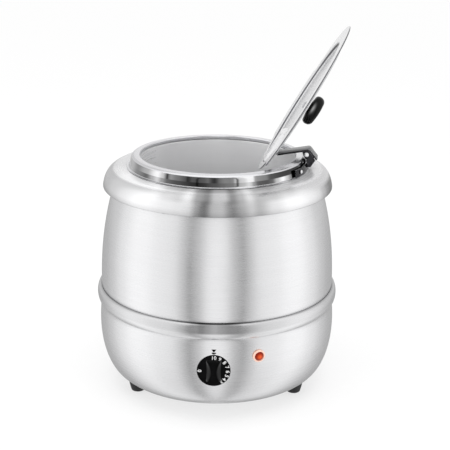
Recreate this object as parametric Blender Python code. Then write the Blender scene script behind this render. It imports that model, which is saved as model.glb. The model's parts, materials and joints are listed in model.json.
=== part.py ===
"""Countertop soup kettle of about 10 litres, with its lid open.

Frame: origin at the centre of the base plate's underside, +Z up, the control dial towards -Y and
the lid hinge on the +X side. Lengths are in metres. The lid ring and all that it carries are
written down with the hinge straight towards +X, then turned together about Z.
"""

import math

import bmesh
import bpy
from mathutils import Matrix, Vector

# Facets round a piece
SHELL_STEPS = 36
PART_STEPS = 12
GAP = 0.0003  # between neighbouring pieces

# Heights
FLOOR_Z = -0.0185
BOWL_BOTTOM_Z = 0.0018
SEAM_Z = 0.1285
COLLAR_BOTTOM_Z = 0.2715
COLLAR_TOP_Z = 0.2990
NECK_TOP_Z = 0.3090
LIP_Z = 0.3162

# Outer shells
SHELL_WALL = 0.0012
BOWL_OPENING_R = 0.1040
BARREL_R = 0.1664
BARREL_TOP_Z = 0.2850
BARREL_TAPER = 0.0240
BARREL_TAPER_POWER = 2.2
BEAD_RISE = 0.0057
BEAD_HALF_HEIGHT = 0.0113
COLLAR_R = 0.1610
COLLAR_FLAT_R = 0.1460
NECK_R = 0.1184

# Pot, well and lid ring
THIN_WALL = 0.0010
POT_R = 0.1110
POT_BOTTOM_Z = 0.0600
POT_RIM_R = 0.1195
WELL_R = 0.1160
WELL_BOTTOM_Z = 0.0500
WELL_FLANGE_R = 0.1340
WELL_GAP = 0.0025  # between the well and the insulation
GASKET_THICKNESS = 0.0012
GASKET_HOLE_R = 0.1190
GASKET_R = 0.1330
SLEEVE_R = 0.1370
LIP_INNER_R = 0.1091
SKIRT_BOTTOM_R = 0.1240
RING_FOOT_R = 0.1276

# Lid, and the hinge line it turns about
LID_R = 0.1215
LID_ZERO_Z = 0.3165  # underside of the closed lid's flange
LID_WALL = 0.0010
LID_OPEN_ANGLE = math.radians(121)
HINGE_X = 0.0776
HINGE_Z = 0.3222
TONGUE_R = 0.1070  # the rim behind the hinge line, which swings down inside the opening
DOME_R = 0.0920
DOME_STEP = 0.0050
DOME_CROWN = 0.0030
POCKET_X = 0.0490
POCKET_HALF_WIDTH = 0.0180
NOTCH_ANGLE = math.radians(114.5)
NOTCH_HALF_ANGLE = math.radians(9.5)
NOTCH_DEPTH = 0.0090
RIVET_X = 0.0660
RIVET_Y = 0.0065
RIVET_HOLE_R = 0.0018
KNOB_BORE_R = 0.0029
KNOB_WASHER_THICKNESS = 0.0012

# Hinge arm and bracket
RING_TURN = math.radians(-6)
ARM_HALF_WIDTH = 0.0118
ARM_THICKNESS = 0.0026
ARM_PIN_X = 0.1240
ARM_PIN_Z = 0.3215
ARM_PIN_HOLE_R = 0.0023
HINGE_EYE_R = 0.0036
HINGE_BORE_R = 0.0019
EAR_THICKNESS = 0.0016
ARM_TONGUE_HALF_WIDTH = 0.0056
LEAF_SLOT_HALF_WIDTH = 0.0062
LEAF_THICKNESS = 0.0012
HINGE_CUTTER = 0.020  # half the length of a cutter across the hinge
BRACKET_HALF_ANGLE = math.radians(28)
BRACKET_SCREW_ANGLE = math.radians(22)

# Controls
DIAL_X = -0.0020
DIAL_Z = 0.0675
DIAL_BACK_Y = -0.1702
DIAL_R = 0.0225
DIAL_DEPTH = 0.0098
GRIP_RISE = 0.0050
GRIP_HALF_WIDTH = 0.0090
GRIP_WAIST = 0.0042
GRIP_HALF_LENGTH = 0.0165
LAMP_ANGLE = math.radians(19.9)
LAMP_Z = 0.0805
CORD_Z = 0.0620
CORD_R = 0.0035
LEAD_R = 0.0013

# Feet and the screws of the base
FOOT_CIRCLE_R = 0.1290
FOOT_ANGLES = {"right": math.radians(-30), "left": math.radians(210), "rear": math.radians(90)}
PLATE_R = 0.1130
PLATE_THICKNESS = 0.0015
PLATE_SCREW_R = 0.1085
PLATE_SCREW_ANGLES = [math.radians(a) for a in (30, 150, 270)]
PLATE_HOLE_R = 0.0020
SINK_R = 0.0036
SINK_DEPTH = 0.0012

COLOURS = {  # base colour, metallic, roughness
    "satin_steel": ((0.62, 0.62, 0.62), 1.0, 0.30),
    "polished_steel": ((0.72, 0.72, 0.73), 1.0, 0.12),
    "plated_steel": ((0.55, 0.55, 0.56), 1.0, 0.35),
    "black_plastic": ((0.015, 0.015, 0.016), 0.0, 0.28),
    "grey_plastic": ((0.35, 0.35, 0.36), 0.0, 0.50),
    "black_rubber": ((0.02, 0.02, 0.02), 0.0, 0.75),
    "silicone": ((0.62, 0.16, 0.10), 0.0, 0.60),
    "mineral_wool": ((0.62, 0.56, 0.40), 0.0, 0.95),
    "mica": ((0.45, 0.36, 0.25), 0.0, 0.60),
    "amber_lens": ((0.85, 0.13, 0.03), 0.0, 0.15),
    "copper": ((0.80, 0.42, 0.26), 1.0, 0.30),
    "blue_sleeve": ((0.03, 0.10, 0.45), 0.0, 0.50),
    "brown_sleeve": ((0.20, 0.08, 0.03), 0.0, 0.50),
    "green_sleeve": ((0.10, 0.35, 0.05), 0.0, 0.50),
}


def clear_scene():
    for obj in list(bpy.data.objects):
        bpy.data.objects.remove(obj, do_unlink=True)


def make_material(name, look):
    colour, metallic, roughness = COLOURS[look]
    material = bpy.data.materials.new(name)
    material.use_nodes = True
    shader = material.node_tree.nodes["Principled BSDF"]
    shader.inputs["Base Color"].default_value = (*colour, 1.0)
    shader.inputs["Metallic"].default_value = metallic
    shader.inputs["Roughness"].default_value = roughness
    return material


# ---------------------------------------------------------------- building blocks


def finish_object(name, bm, look, place=None):
    """The object made from a bmesh. No look means that it is only a Boolean's tool."""
    bmesh.ops.recalc_face_normals(bm, faces=bm.faces)
    mesh = bpy.data.meshes.new(name)
    bm.to_mesh(mesh)
    bm.free()
    mesh.shade_smooth()
    mesh.set_sharp_from_angle(angle=math.radians(32))
    obj = bpy.data.objects.new(name, mesh)
    bpy.context.collection.objects.link(obj)
    if place is not None:
        obj.matrix_world = place
    if look:
        mesh.materials.append(make_material(name, look))
    else:
        obj.hide_render = True
        obj.display_type = "WIRE"
    return obj


def turned(name, profile, look, place=None, steps=PART_STEPS):
    """A body of revolution about local Z from (radius, height) points."""
    bm = bmesh.new()
    verts = [bm.verts.new((r, 0, z)) for r, z in profile]
    edges = [bm.edges.new(pair) for pair in zip(verts, verts[1:])]
    if profile[0][0] > 0:
        edges.append(bm.edges.new((verts[-1], verts[0])))
    bmesh.ops.spin(
        bm,
        geom=verts + edges,
        cent=(0, 0, 0),
        axis=(0, 0, 1),
        angle=2 * math.pi,
        steps=steps,
        use_merge=True,
    )
    bmesh.ops.remove_doubles(bm, verts=bm.verts, dist=1e-6)
    return finish_object(name, bm, look, place)


def prism(name, outline, low, high, look, place=None):
    """An outline of (x, y) points raised from one local height to another."""
    bm = bmesh.new()
    face = bm.faces.new([bm.verts.new((x, y, low)) for x, y in outline])
    raised = bmesh.ops.extrude_face_region(bm, geom=[face])
    verts = [v for v in raised["geom"] if isinstance(v, bmesh.types.BMVert)]
    bmesh.ops.translate(bm, verts=verts, vec=(0, 0, high - low))
    bmesh.ops.triangulate(bm, faces=[f for f in bm.faces if len(f.verts) > 4])
    return finish_object(name, bm, look, place)


def swept(name, sections, look, place=None):
    """Closed sections of equal length, one after another, joined into a body with capped ends."""
    bm = bmesh.new()
    rings = [[bm.verts.new(point) for point in section] for section in sections]
    for ring, following in zip(rings, rings[1:]):
        for i in range(len(ring)):
            j = (i + 1) % len(ring)
            bm.faces.new((ring[i], ring[j], following[j], following[i]))
    bm.faces.new(rings[0])
    bm.faces.new(rings[-1])
    bmesh.ops.triangulate(bm, faces=[f for f in bm.faces if len(f.verts) > 4])
    return finish_object(name, bm, look, place)


def cable(name, points, radius, look, sides=8):
    """A round cable along a smooth curve through these points."""
    curve = bpy.data.curves.new(name, "CURVE")
    curve.dimensions = "3D"
    spline = curve.splines.new("POLY")
    path = rounded_path([Vector(p) for p in points])
    spline.points.add(len(path) - 1)
    for target, point in zip(spline.points, path):
        target.co = (*point, 1.0)
    curve.bevel_depth = radius
    curve.bevel_resolution = (sides - 4) // 2
    curve.use_fill_caps = True
    obj = bpy.data.objects.new(name, curve)
    bpy.context.collection.objects.link(obj)
    curve.materials.append(make_material(name, look))
    return obj


def rounded_path(points, share=0.3, pieces=2):
    """The path with each corner replaced by a quadratic curve that starts this share along its sides."""
    path = [points[0]]
    for before, corner, after in zip(points, points[1:], points[2:]):
        start = corner.lerp(before, share)
        end = corner.lerp(after, share)
        for i in range(pieces + 1):
            t = i / pieces
            path.append(start.lerp(corner, t).lerp(corner.lerp(end, t), t))
    return path + [points[-1]]


def sheet(path, wall):
    """The loop round a sheet whose outer face follows this path of (radius, height) points downwards."""
    points = [Vector(p) for p in path]
    normals = []
    for a, b in zip(points, points[1:]):
        along = (b - a).normalized()
        normals.append(Vector((along.y, -along.x)))
    inner = []
    for i, point in enumerate(points):
        first = normals[max(i - 1, 0)]
        second = normals[min(i, len(normals) - 1)]
        inner.append(point + (first + second) * wall / (1 + first.dot(second)))
    return [tuple(p) for p in points] + [tuple(p) for p in reversed(inner)]


def arc(centre, radii, start, end, pieces):
    """Points of (radius, height) along an elliptic arc, angles in degrees from the radial direction."""
    angles = [math.radians(start + (end - start) * i / pieces) for i in range(pieces + 1)]
    return [(centre[0] + radii[0] * math.cos(a), centre[1] + radii[1] * math.sin(a)) for a in angles]


def bezier(p0, p1, p2, p3, pieces):
    points = []
    for i in range(pieces + 1):
        t = i / pieces
        weights = ((1 - t) ** 3, 3 * t * (1 - t) ** 2, 3 * t * t * (1 - t), t**3)
        points.append(tuple(sum(w * p[k] for w, p in zip(weights, (p0, p1, p2, p3))) for k in (0, 1)))
    return points


def hexagon(across_corners):
    radius = across_corners / 2
    angles = [math.radians(60 * i) for i in range(6)]
    return [(radius * math.cos(a), radius * math.sin(a)) for a in angles]


def disc(radius, low, high, hole=0.0):
    """The profile of a disc or washer, for turned()."""
    if hole:
        return [(radius, high), (radius, low), (hole, low), (hole, high)]
    return [(0, high), (radius, high), (radius, low), (0, low)]


def boolean(target, tool, operation):
    modifier = target.modifiers.new(operation.lower(), "BOOLEAN")
    modifier.operation = operation
    modifier.object = tool
    modifier.solver = "EXACT"


def cut(target, *tools):
    for tool in tools:
        boolean(target, tool, "DIFFERENCE")


def weld_on(target, *tools):
    for tool in tools:
        boolean(target, tool, "UNION")


def upright(x=0.0, y=0.0, z=0.0):
    return Matrix.Translation((x, y, z))


def outward(angle, radius, z):
    """A place on the shell: local Z points away from the kettle, at this angle round from the front."""
    turn = Matrix.Rotation(angle, 4, "Z")
    return turn @ Matrix.Translation((0, -radius, z)) @ Matrix.Rotation(math.pi / 2, 4, "X")


def across(x, z, y=0.0):
    """A place whose local Z runs along world Y, with local X along world X and local Y down."""
    return Matrix.Translation((x, y, z)) @ Matrix.Rotation(-math.pi / 2, 4, "X")


def on_circle(radius, angle, z=0.0):
    return upright(radius * math.cos(angle), radius * math.sin(angle), z)


def nut(name, across_corners, hole, low, high, look, place):
    body = prism(name, hexagon(across_corners), low, high, look, place)
    cut(body, turned(name + "_bore", disc(hole, low - 0.001, high + 0.001), None, place))
    return body


def screw(name, head_r, head_h, shank_r, shank_length, look, place):
    """A pan-head screw: local Z leaves through the head, and zero is under it."""
    profile = [
        (0, head_h),
        (head_r * 0.6, head_h),
        (head_r, head_h * 0.45),
        (head_r, 0),
        (shank_r, 0),
        (shank_r, -shank_length),
        (0, -shank_length),
    ]
    return turned(name, profile, look, place, steps=8)


# ---------------------------------------------------------------- outer shells


def barrel_radius(z):
    rise = max(z - SEAM_Z, 0) / (BARREL_TOP_Z - SEAM_Z)
    return BARREL_R - BARREL_TAPER * rise**BARREL_TAPER_POWER


def bowl_path():
    """The bead at the top edge, then the bowl down to its flat bottom."""
    edge_r = BARREL_R + 0.0004
    bead = arc((edge_r, SEAM_Z - BEAD_HALF_HEIGHT), (BEAD_RISE, BEAD_HALF_HEIGHT), 90, -80, 7)
    crease = (edge_r + 0.0004, SEAM_Z - 0.0242)
    belly = bezier(crease, (0.1757, 0.0379), (0.1546, BOWL_BOTTOM_Z), (0.1445, BOWL_BOTTOM_Z), 7)
    return bead + belly + [(BOWL_OPENING_R, BOWL_BOTTOM_Z)]


def bowl_radius(z):
    for (r0, z0), (r1, z1) in zip(bowl_path(), bowl_path()[1:]):
        if z1 <= z <= z0:
            return r0 + (r1 - r0) * (z0 - z) / (z0 - z1)
    raise ValueError("height outside the bowl")


def dial_place(depth=0.0):
    return upright(DIAL_X, DIAL_BACK_Y - depth, DIAL_Z) @ Matrix.Rotation(math.pi / 2, 4, "X")


def lamp_place():
    return outward(LAMP_ANGLE, bowl_radius(LAMP_Z), LAMP_Z)


def cord_place():
    return outward(math.pi, bowl_radius(CORD_Z), CORD_Z)


def make_base_bowl():
    bowl = turned("base_bowl", sheet(bowl_path(), SHELL_WALL), "satin_steel", steps=SHELL_STEPS)
    cut(
        bowl,
        turned("spindle_hole", disc(0.0054, -0.020, 0.010), None, dial_place()),
        turned("lamp_hole", disc(0.0054, -0.010, 0.010), None, lamp_place()),
        turned("cord_hole", disc(0.0073, -0.010, 0.010), None, cord_place()),
    )
    for name, angle in FOOT_ANGLES.items():
        place = on_circle(FOOT_CIRCLE_R, angle)
        cut(bowl, turned(f"foot_hole_{name}", disc(0.0025, -0.005, 0.010), None, place))
    for i, angle in enumerate(PLATE_SCREW_ANGLES):
        place = on_circle(PLATE_SCREW_R, angle)
        cut(bowl, turned(f"bowl_screw_hole_{i}", disc(PLATE_HOLE_R, -0.005, 0.010), None, place))


def make_barrel_shell():
    """The jacket, with its lower edge stepped in to sit inside the bowl's bead."""
    spigot_r = BARREL_R - 0.0011
    heights = [BARREL_TOP_Z - (BARREL_TOP_Z - SEAM_Z) * i / 7 for i in range(8)]
    path = [(barrel_radius(z), z) for z in heights]
    path += [(spigot_r, SEAM_Z - 0.0020), (spigot_r, SEAM_Z - 0.0220)]
    turned("barrel_shell", sheet(path, SHELL_WALL), "satin_steel", steps=SHELL_STEPS)


def make_collar():
    """An upturned neck round the opening, a flat top, a rounded shoulder and an edge turned in."""
    shoulder = arc(
        (COLLAR_FLAT_R, COLLAR_BOTTOM_Z + 0.0015),
        (COLLAR_R - COLLAR_FLAT_R, COLLAR_TOP_Z - COLLAR_BOTTOM_Z - 0.0015),
        90,
        0,
        6,
    )
    edge = [(COLLAR_R - 0.0015, COLLAR_BOTTOM_Z), (barrel_radius(COLLAR_BOTTOM_Z) + 0.0016, COLLAR_BOTTOM_Z)]
    neck = [(NECK_R, NECK_TOP_Z), (NECK_R, COLLAR_TOP_Z + 0.0016), (NECK_R + 0.0020, COLLAR_TOP_Z)]
    turned("collar", sheet(neck + shoulder + edge, SHELL_WALL), "satin_steel", steps=SHELL_STEPS)


# ---------------------------------------------------------------- well, pot and heating


def make_heating_well():
    flange_z = COLLAR_TOP_Z - SHELL_WALL - 2 * GAP - GASKET_THICKNESS - THIN_WALL
    path = [(WELL_FLANGE_R, flange_z), (WELL_R + 0.0008, flange_z), (WELL_R, flange_z - 0.0008)]
    corner_r = 0.014
    path += arc((WELL_R - corner_r, WELL_BOTTOM_Z + corner_r), (corner_r, corner_r), 0, -90, 3)
    path.append((0, WELL_BOTTOM_Z))
    turned("heating_well", sheet(path, THIN_WALL), "satin_steel", steps=SHELL_STEPS)
    gasket_low = flange_z + THIN_WALL + GAP
    gasket = disc(GASKET_R, gasket_low, gasket_low + GASKET_THICKNESS, hole=GASKET_HOLE_R)
    turned("well_gasket", gasket, "silicone", steps=SHELL_STEPS)
    sleeve = disc(SLEEVE_R, 0.1000, 0.2900, hole=WELL_R + WELL_GAP)
    turned("insulation_sleeve", sleeve, "mineral_wool", steps=24)


def make_insert_pot():
    rim_z = NECK_TOP_Z + GAP
    path = [(POT_RIM_R, rim_z), (POT_R + 0.0010, rim_z), (POT_R, rim_z - 0.0010)]
    corner_r = 0.018
    path += arc((POT_R - corner_r, POT_BOTTOM_Z + corner_r), (corner_r, corner_r), 0, -90, 4)
    path.append((0, POT_BOTTOM_Z))
    turned("insert_pot", sheet(path, THIN_WALL), "satin_steel", steps=SHELL_STEPS)


def make_heater():
    """The heater, held up against the well by a clamp plate on a central stud."""
    bore = 0.0034
    top = WELL_BOTTOM_Z - GAP
    heater_low = top - 0.0015  # the thickness of each piece is taken off in turn, from the well down
    turned("heater_plate", disc(0.0850, heater_low, top, hole=bore), "mica", steps=24)
    clamp_top = heater_low - GAP
    clamp_low = clamp_top - 0.0025
    clamp = disc(0.0800, clamp_low, clamp_top, hole=bore)
    turned("heater_clamp_plate", clamp, "plated_steel", steps=24)
    turned("clamp_stud", disc(0.0030, 0.0330, top), "plated_steel")
    washer_top = clamp_low - GAP
    washer_low = washer_top - 0.0014
    turned("clamp_washer", disc(0.0090, washer_low, washer_top, hole=bore), "plated_steel")
    nut_top = washer_low - GAP
    nut("clamp_nut", 0.0116, bore, nut_top - 0.0050, nut_top, "plated_steel", upright())
    cutout = disc(0.0080, washer_top - 0.0077, washer_top)
    turned("thermal_cutout", cutout, "grey_plastic", upright(0.040, -0.030))


# ---------------------------------------------------------------- controls


def make_thermostat():
    body_place = dial_place(-0.0085)
    case = prism(
        "thermostat_body",
        [(-0.020, -0.016), (0.020, -0.016), (0.020, 0.016), (-0.020, 0.016)],
        -0.030,
        0,
        "grey_plastic",
        body_place,
    )
    weld_on(case, turned("thermostat_bush", disc(0.0050, -0.0100, 0.0125), None, body_place))
    cut(case, turned("thermostat_bore", disc(0.0033, -0.0120, 0.0200), None, body_place))
    nut("thermostat_nut", 0.0160, 0.0053, -0.0006, 0.0019, "plated_steel", dial_place())
    well_side = WELL_R + 0.0045
    cable(
        "thermostat_capillary",
        [
            (-0.030, -0.1450, 0.0600),
            (-0.050, -0.1350, 0.0600),
            (-0.070, -0.1150, 0.0750),
            (-well_side * 0.80, -well_side * 0.62, 0.0880),
            (-well_side - 0.004, -0.030, 0.0880),
            (-well_side - 0.004, 0.030, 0.0880),
        ],
        0.0022,
        "copper",
    )


def make_dial():
    """The dial with its raised finger grip, and the spindle that it turns."""
    face = DIAL_DEPTH
    profile = [
        (0, face),
        (DIAL_R - 0.0015, face),
        (DIAL_R, face - 0.0010),
        (DIAL_R - 0.0006, face - 0.0026),
        (DIAL_R - 0.0048, 0),
        (0.0095, 0),
        (0.0095, 0.0052),
        (0.0033, 0.0052),
        (0.0033, face - 0.0010),
        (0, face - 0.0010),
    ]
    dial = turned("control_dial", profile, "black_plastic", dial_place(), steps=30)
    side = []
    for share in (-1, -0.6, -0.2, 0.2, 0.6, 1):
        waist = GRIP_WAIST * math.cos(math.pi / 2 * share)
        side.append((GRIP_HALF_WIDTH - waist, GRIP_HALF_LENGTH * share))
    outline = side + [(-x, y) for x, y in reversed(side)]
    weld_on(dial, prism("dial_grip", outline, face - 0.0012, face + GRIP_RISE, None, dial_place()))
    turned("dial_spindle", disc(0.0030, -0.0190, face - 0.0013), "plated_steel", dial_place())


def make_pilot_lamp():
    place = lamp_place()
    bezel = [(0.0064, 0.0030), (0.0078, 0.0030), (0.0086, 0.0020), (0.0086, 0.0005), (0.0064, 0.0005)]
    turned("lamp_bezel", bezel, "polished_steel", place, steps=14)
    lens = [(0, 0.0056), (0.0030, 0.0051), (0.0051, 0.0037), (0.0061, 0.0020), (0.0061, 0.0008), (0, 0.0008)]
    turned("lamp_lens", lens, "amber_lens", place, steps=14)
    turned("lamp_body", disc(0.0049, -0.0230, 0.0005), "grey_plastic", place)
    nut("lamp_nut", 0.0175, 0.0052, -0.0060, -0.0032, "plated_steel", place)


def make_wiring():
    """Terminal block and earth stud on the base plate, and the leads to the parts above them."""
    floor = PLATE_THICKNESS + GAP
    prism(
        "terminal_block",
        [(-0.020, -0.009), (0.020, -0.009), (0.020, 0.009), (-0.020, 0.009)],
        floor,
        floor + 0.0140,
        "grey_plastic",
        upright(0.0, 0.0750),
    )
    turned("earth_stud", disc(0.0020, floor, floor + 0.0120), "plated_steel", upright(0.0500, 0.0600))
    top = floor + 0.0140 + GAP
    leads = {  # each rises straight from its terminal, then runs to the part that it feeds
        ("lead_live", "brown_sleeve"): [
            (-0.012, 0.075, 0.030),
            (-0.060, 0.040, 0.028),
            (-0.060, -0.080, 0.030),
            (-0.010, -0.128, 0.056),
        ],
        ("lead_neutral", "blue_sleeve"): [
            (0.012, 0.075, 0.030),
            (0.075, 0.030, 0.026),
            (0.080, -0.080, 0.030),
            (0.052, -0.136, 0.070),
        ],
        ("lead_heater", "brown_sleeve"): [
            (0.0, 0.075, 0.030),
            (0.020, 0.050, 0.034),
            (0.060, 0.020, 0.036),
            (0.062, 0.008, 0.044),
        ],
        ("lead_earth", "green_sleeve"): [
            (0.050, 0.060, 0.020),
            (0.052, 0.085, 0.018),
            (0.030, 0.120, 0.040),
            (0.008, 0.130, 0.060),
        ],
    }
    for (name, sleeve), points in leads.items():
        terminal = (points[0][0], points[0][1], top)
        cable(name, [terminal, *points], LEAD_R, sleeve, sides=6)


def make_cord():
    place = cord_place()
    grip = [
        (0.0060, 0.0170),
        (0.0075, 0.0155),
        (0.0085, 0.0060),
        (0.0110, 0.0050),
        (0.0110, 0.0008),
        (0.0069, 0.0008),
        (0.0069, -0.0130),
        (0.0042, -0.0130),
        (0.0042, 0.0170),
    ]
    turned("cord_grip", grip, "black_plastic", place)
    nut("cord_grip_nut", 0.0210, 0.0072, -0.0080, -0.0036, "grey_plastic", place)
    start = bowl_radius(CORD_Z)
    points = [(0, start - 0.030, CORD_Z), (0, start + 0.038, CORD_Z), (0, start + 0.048, CORD_Z - 0.030)]
    lie = FLOOR_Z + CORD_R + GAP
    coil_y, coil_r, coil_pitch = start + 0.075, 0.052, 0.0085
    turns, per_turn = 2.5, 8
    for i in range(int(turns * per_turn) + 1):
        angle = math.radians(-90) + 2 * math.pi * i / per_turn
        radius = coil_r - coil_pitch * i / per_turn
        points.append((radius * math.cos(angle), coil_y + radius * math.sin(angle), lie))
    end = points[-1]
    points.append((end[0] - 0.028, end[1] + 0.004, lie + 0.008))
    cable("power_cord", points, CORD_R, "black_plastic")
    make_plug(Vector(points[-1]))


def make_plug(cord_end):
    """A round-pin plug lying on the coil, its pins towards -X."""
    axis = Matrix.Translation(cord_end + Vector((0, 0, 0.0075))) @ Matrix.Rotation(-math.pi / 2, 4, "Y")
    body = [
        (0, 0.052),
        (0.0165, 0.052),
        (0.0185, 0.046),
        (0.0175, 0.034),
        (0.0080, 0.012),
        (0.0070, 0.001),
        (0, 0.001),
    ]
    plug = turned("plug", body, "black_plastic", axis, steps=14)
    for side in (-1, 1):
        pin = axis @ Matrix.Translation((0, side * 0.0095, 0))
        weld_on(plug, turned(f"plug_pin_{side}", disc(0.0024, 0.048, 0.071), None, pin, steps=8))


# ---------------------------------------------------------------- base


def make_base():
    """The vented base plate, held to the bowl by countersunk screws."""
    plate = turned("base_plate", disc(PLATE_R, 0, PLATE_THICKNESS), "plated_steel", steps=SHELL_STEPS)
    for i in range(6):
        slot = prism(
            f"vent_{i}",
            [(0.050, -0.003), (0.085, -0.003), (0.085, 0.003), (0.050, 0.003)],
            -0.002,
            0.004,
            None,
            Matrix.Rotation(math.radians(60 * i), 4, "Z"),
        )
        cut(plate, slot)
    above, below = 0.0040, -0.0020
    hole = [
        (0, above),
        (PLATE_HOLE_R, above),
        (PLATE_HOLE_R, SINK_DEPTH),
        (SINK_R, 0),
        (SINK_R, below),
        (0, below),
    ]
    shank_r, tip, flush = 0.0016, 0.0085, 0.0001
    screw_profile = [
        (0, tip),
        (shank_r, tip),
        (shank_r, SINK_DEPTH + flush),
        (SINK_R - 0.0004, flush),
        (0, flush),
    ]
    for i, angle in enumerate(PLATE_SCREW_ANGLES):
        place = on_circle(PLATE_SCREW_R, angle)
        cut(plate, turned(f"plate_hole_{i}", hole, None, place))
        turned(f"base_plate_screw_{i + 1}", screw_profile, "plated_steel", place, steps=8)


def make_feet():
    top = BOWL_BOTTOM_Z - GAP
    ledge = -0.0110
    foot = [
        (0.0128, top),
        (0.0122, -0.0090),
        (0.0086, FLOOR_Z),
        (0.0055, FLOOR_Z),
        (0.0055, ledge),
        (0.0025, ledge),
        (0.0025, top),
    ]
    nut_low = BOWL_BOTTOM_Z + SHELL_WALL + GAP
    for name, angle in FOOT_ANGLES.items():
        place = on_circle(FOOT_CIRCLE_R, angle)
        turned(f"foot_{name}", foot, "black_rubber", place, steps=12)
        down = on_circle(FOOT_CIRCLE_R, angle, ledge - GAP) @ Matrix.Rotation(math.pi, 4, "X")
        screw(f"foot_screw_{name}", 0.0046, 0.0028, 0.0021, 0.0200, "plated_steel", down)
        nut(f"foot_nut_{name}", 0.0085, 0.0024, nut_low, nut_low + 0.0032, "plated_steel", place)


# ---------------------------------------------------------------- lid ring and hinge


def ring_path():
    """The lid ring's seen face: up the inner edge, over the lip, down the skirt and out along its foot."""
    foot_z = COLLAR_TOP_Z + GAP + THIN_WALL + 0.0001
    return [
        (LIP_INNER_R, LIP_Z - 0.0052),
        (LIP_INNER_R, LIP_Z - 0.0012),
        (LIP_INNER_R + 0.0014, LIP_Z),
        (0.1190, LIP_Z - 0.0010),
        (0.1212, LIP_Z - 0.0034),
        (SKIRT_BOTTOM_R, foot_z + 0.0012),
        (SKIRT_BOTTOM_R + 0.0010, foot_z),
        (RING_FOOT_R, foot_z),
    ]


def make_lid_ring():
    turned("lid_ring", sheet(ring_path(), THIN_WALL), "polished_steel", steps=SHELL_STEPS)


def make_hinge_bracket():
    """A band on the ring's skirt with two ears, which hold the arm between them."""
    band = [(0.1246, 0.3105), (0.1262, 0.3105), (0.1278, 0.3012), (0.1256, 0.3012)]
    pieces = 12
    sections = []
    for i in range(pieces + 1):
        angle = BRACKET_HALF_ANGLE * (2 * i / pieces - 1)
        sections.append([(r * math.cos(angle), r * math.sin(angle), z) for r, z in band])
    bracket = swept("hinge_bracket", sections, "polished_steel")
    ear = [
        (0.1246, 0.3040),
        (0.1246, 0.3150),
        (0.1215, 0.3175),
        (0.1200, 0.3215),
        (0.1215, 0.3250),
        (0.1255, 0.3263),
        (0.1290, 0.3247),
        (0.1364, 0.3137),
        (0.1300, 0.3040),
    ]
    inner = ARM_HALF_WIDTH + GAP
    for side in (-1, 1):
        start, end = sorted((side * inner, side * (inner + EAR_THICKNESS)))
        weld_on(bracket, prism(f"bracket_ear_{side}", flipped(ear), start, end, None, across(0, 0)))
    hole = disc(ARM_PIN_HOLE_R, -HINGE_CUTTER, HINGE_CUTTER)
    cut(bracket, turned("bracket_pin_hole", hole, None, across(ARM_PIN_X, ARM_PIN_Z)))
    for name, side in (("front", -1), ("rear", 1)):
        place = outward(math.pi / 2 + side * BRACKET_SCREW_ANGLE, 0.1278, 0.3062)
        screw(f"bracket_screw_{name}", 0.0030, 0.0018, 0.0013, 0.0001, "polished_steel", place)


def flipped(outline):
    """(x, z) points as the (x, y) of a place made by across(), whose local Y runs down."""
    return [(x, -z) for x, z in outline]


def make_hinge_arm():
    """A bent strip: an eye round the hinge pin, a rising flat, and a heel over the bracket."""
    top = [(0.0825, 0.3207), (0.1262, 0.3286), (0.1290, 0.3281), (0.1394, 0.3149)]
    heel = [(0.1374, 0.3133), (0.1302, 0.3224)]
    boss = arc((ARM_PIN_X, ARM_PIN_Z), (0.0048, 0.0048), -10, -170, 6)
    under = [(0.1185, 0.3246), (0.0825, 0.3207 - ARM_THICKNESS)]
    eye = arc((HINGE_X, HINGE_Z), (HINGE_EYE_R, HINGE_EYE_R), -100, -320, 10)
    outline = flipped(top + heel + boss + under + eye)
    arm = prism("hinge_arm", outline, -ARM_HALF_WIDTH, ARM_HALF_WIDTH, "polished_steel", across(0, 0))
    for side in (-1, 1):
        start, end = sorted((side * ARM_TONGUE_HALF_WIDTH, side * HINGE_CUTTER))
        corner = [(0.0700, 0.3100), (0.0838, 0.3100), (0.0838, 0.3300), (0.0700, 0.3300)]
        cut(arm, prism(f"arm_notch_{side}", flipped(corner), start, end, None, across(0, 0)))
    eye_bore = disc(HINGE_BORE_R, -HINGE_CUTTER, HINGE_CUTTER)
    boss_bore = disc(ARM_PIN_HOLE_R, -HINGE_CUTTER, HINGE_CUTTER)
    cut(
        arm,
        turned("arm_eye_bore", eye_bore, None, across(HINGE_X, HINGE_Z)),
        turned("arm_boss_bore", boss_bore, None, across(ARM_PIN_X, ARM_PIN_Z)),
    )
    half = ARM_HALF_WIDTH + GAP + EAR_THICKNESS + GAP
    pin = [
        (0, half + 0.0018),
        (0.0022, half + 0.0018),
        (0.0034, half + 0.0008),
        (0.0034, half),
        (0.0020, half),
    ]
    pin += [(r, -z) for r, z in reversed(pin)]
    turned("arm_pin", pin, "polished_steel", across(ARM_PIN_X, ARM_PIN_Z))


# ---------------------------------------------------------------- lid


def smooth(t):
    t = min(max(t, 0.0), 1.0)
    return t * t * (3 - 2 * t)


def lid_edge_radius(angle):
    """The rim: round, with a ladle notch, and drawn in behind the hinge line."""
    radius = LID_R
    if math.cos(angle) > 0.1:
        radius = min(LID_R, max(TONGUE_R, (HINGE_X + 0.0004) / math.cos(angle)))
    reach = abs(angle - NOTCH_ANGLE) / NOTCH_HALF_ANGLE
    return radius - NOTCH_DEPTH * smooth((1.25 - reach) / 0.5)


def lid_height(x, y):
    """The lid's underside above its flange: a stepped dome with a flat pocket for the hinge."""
    r = math.hypot(x, y)
    dome = DOME_STEP * smooth((DOME_R + 0.005 - r) / 0.005) + DOME_CROWN * max(0.0, 1 - (r / DOME_R) ** 2)
    clear = max((POCKET_X - x) / 0.006, (abs(y) - POCKET_HALF_WIDTH) / 0.005)
    return dome * smooth(clear)


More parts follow.
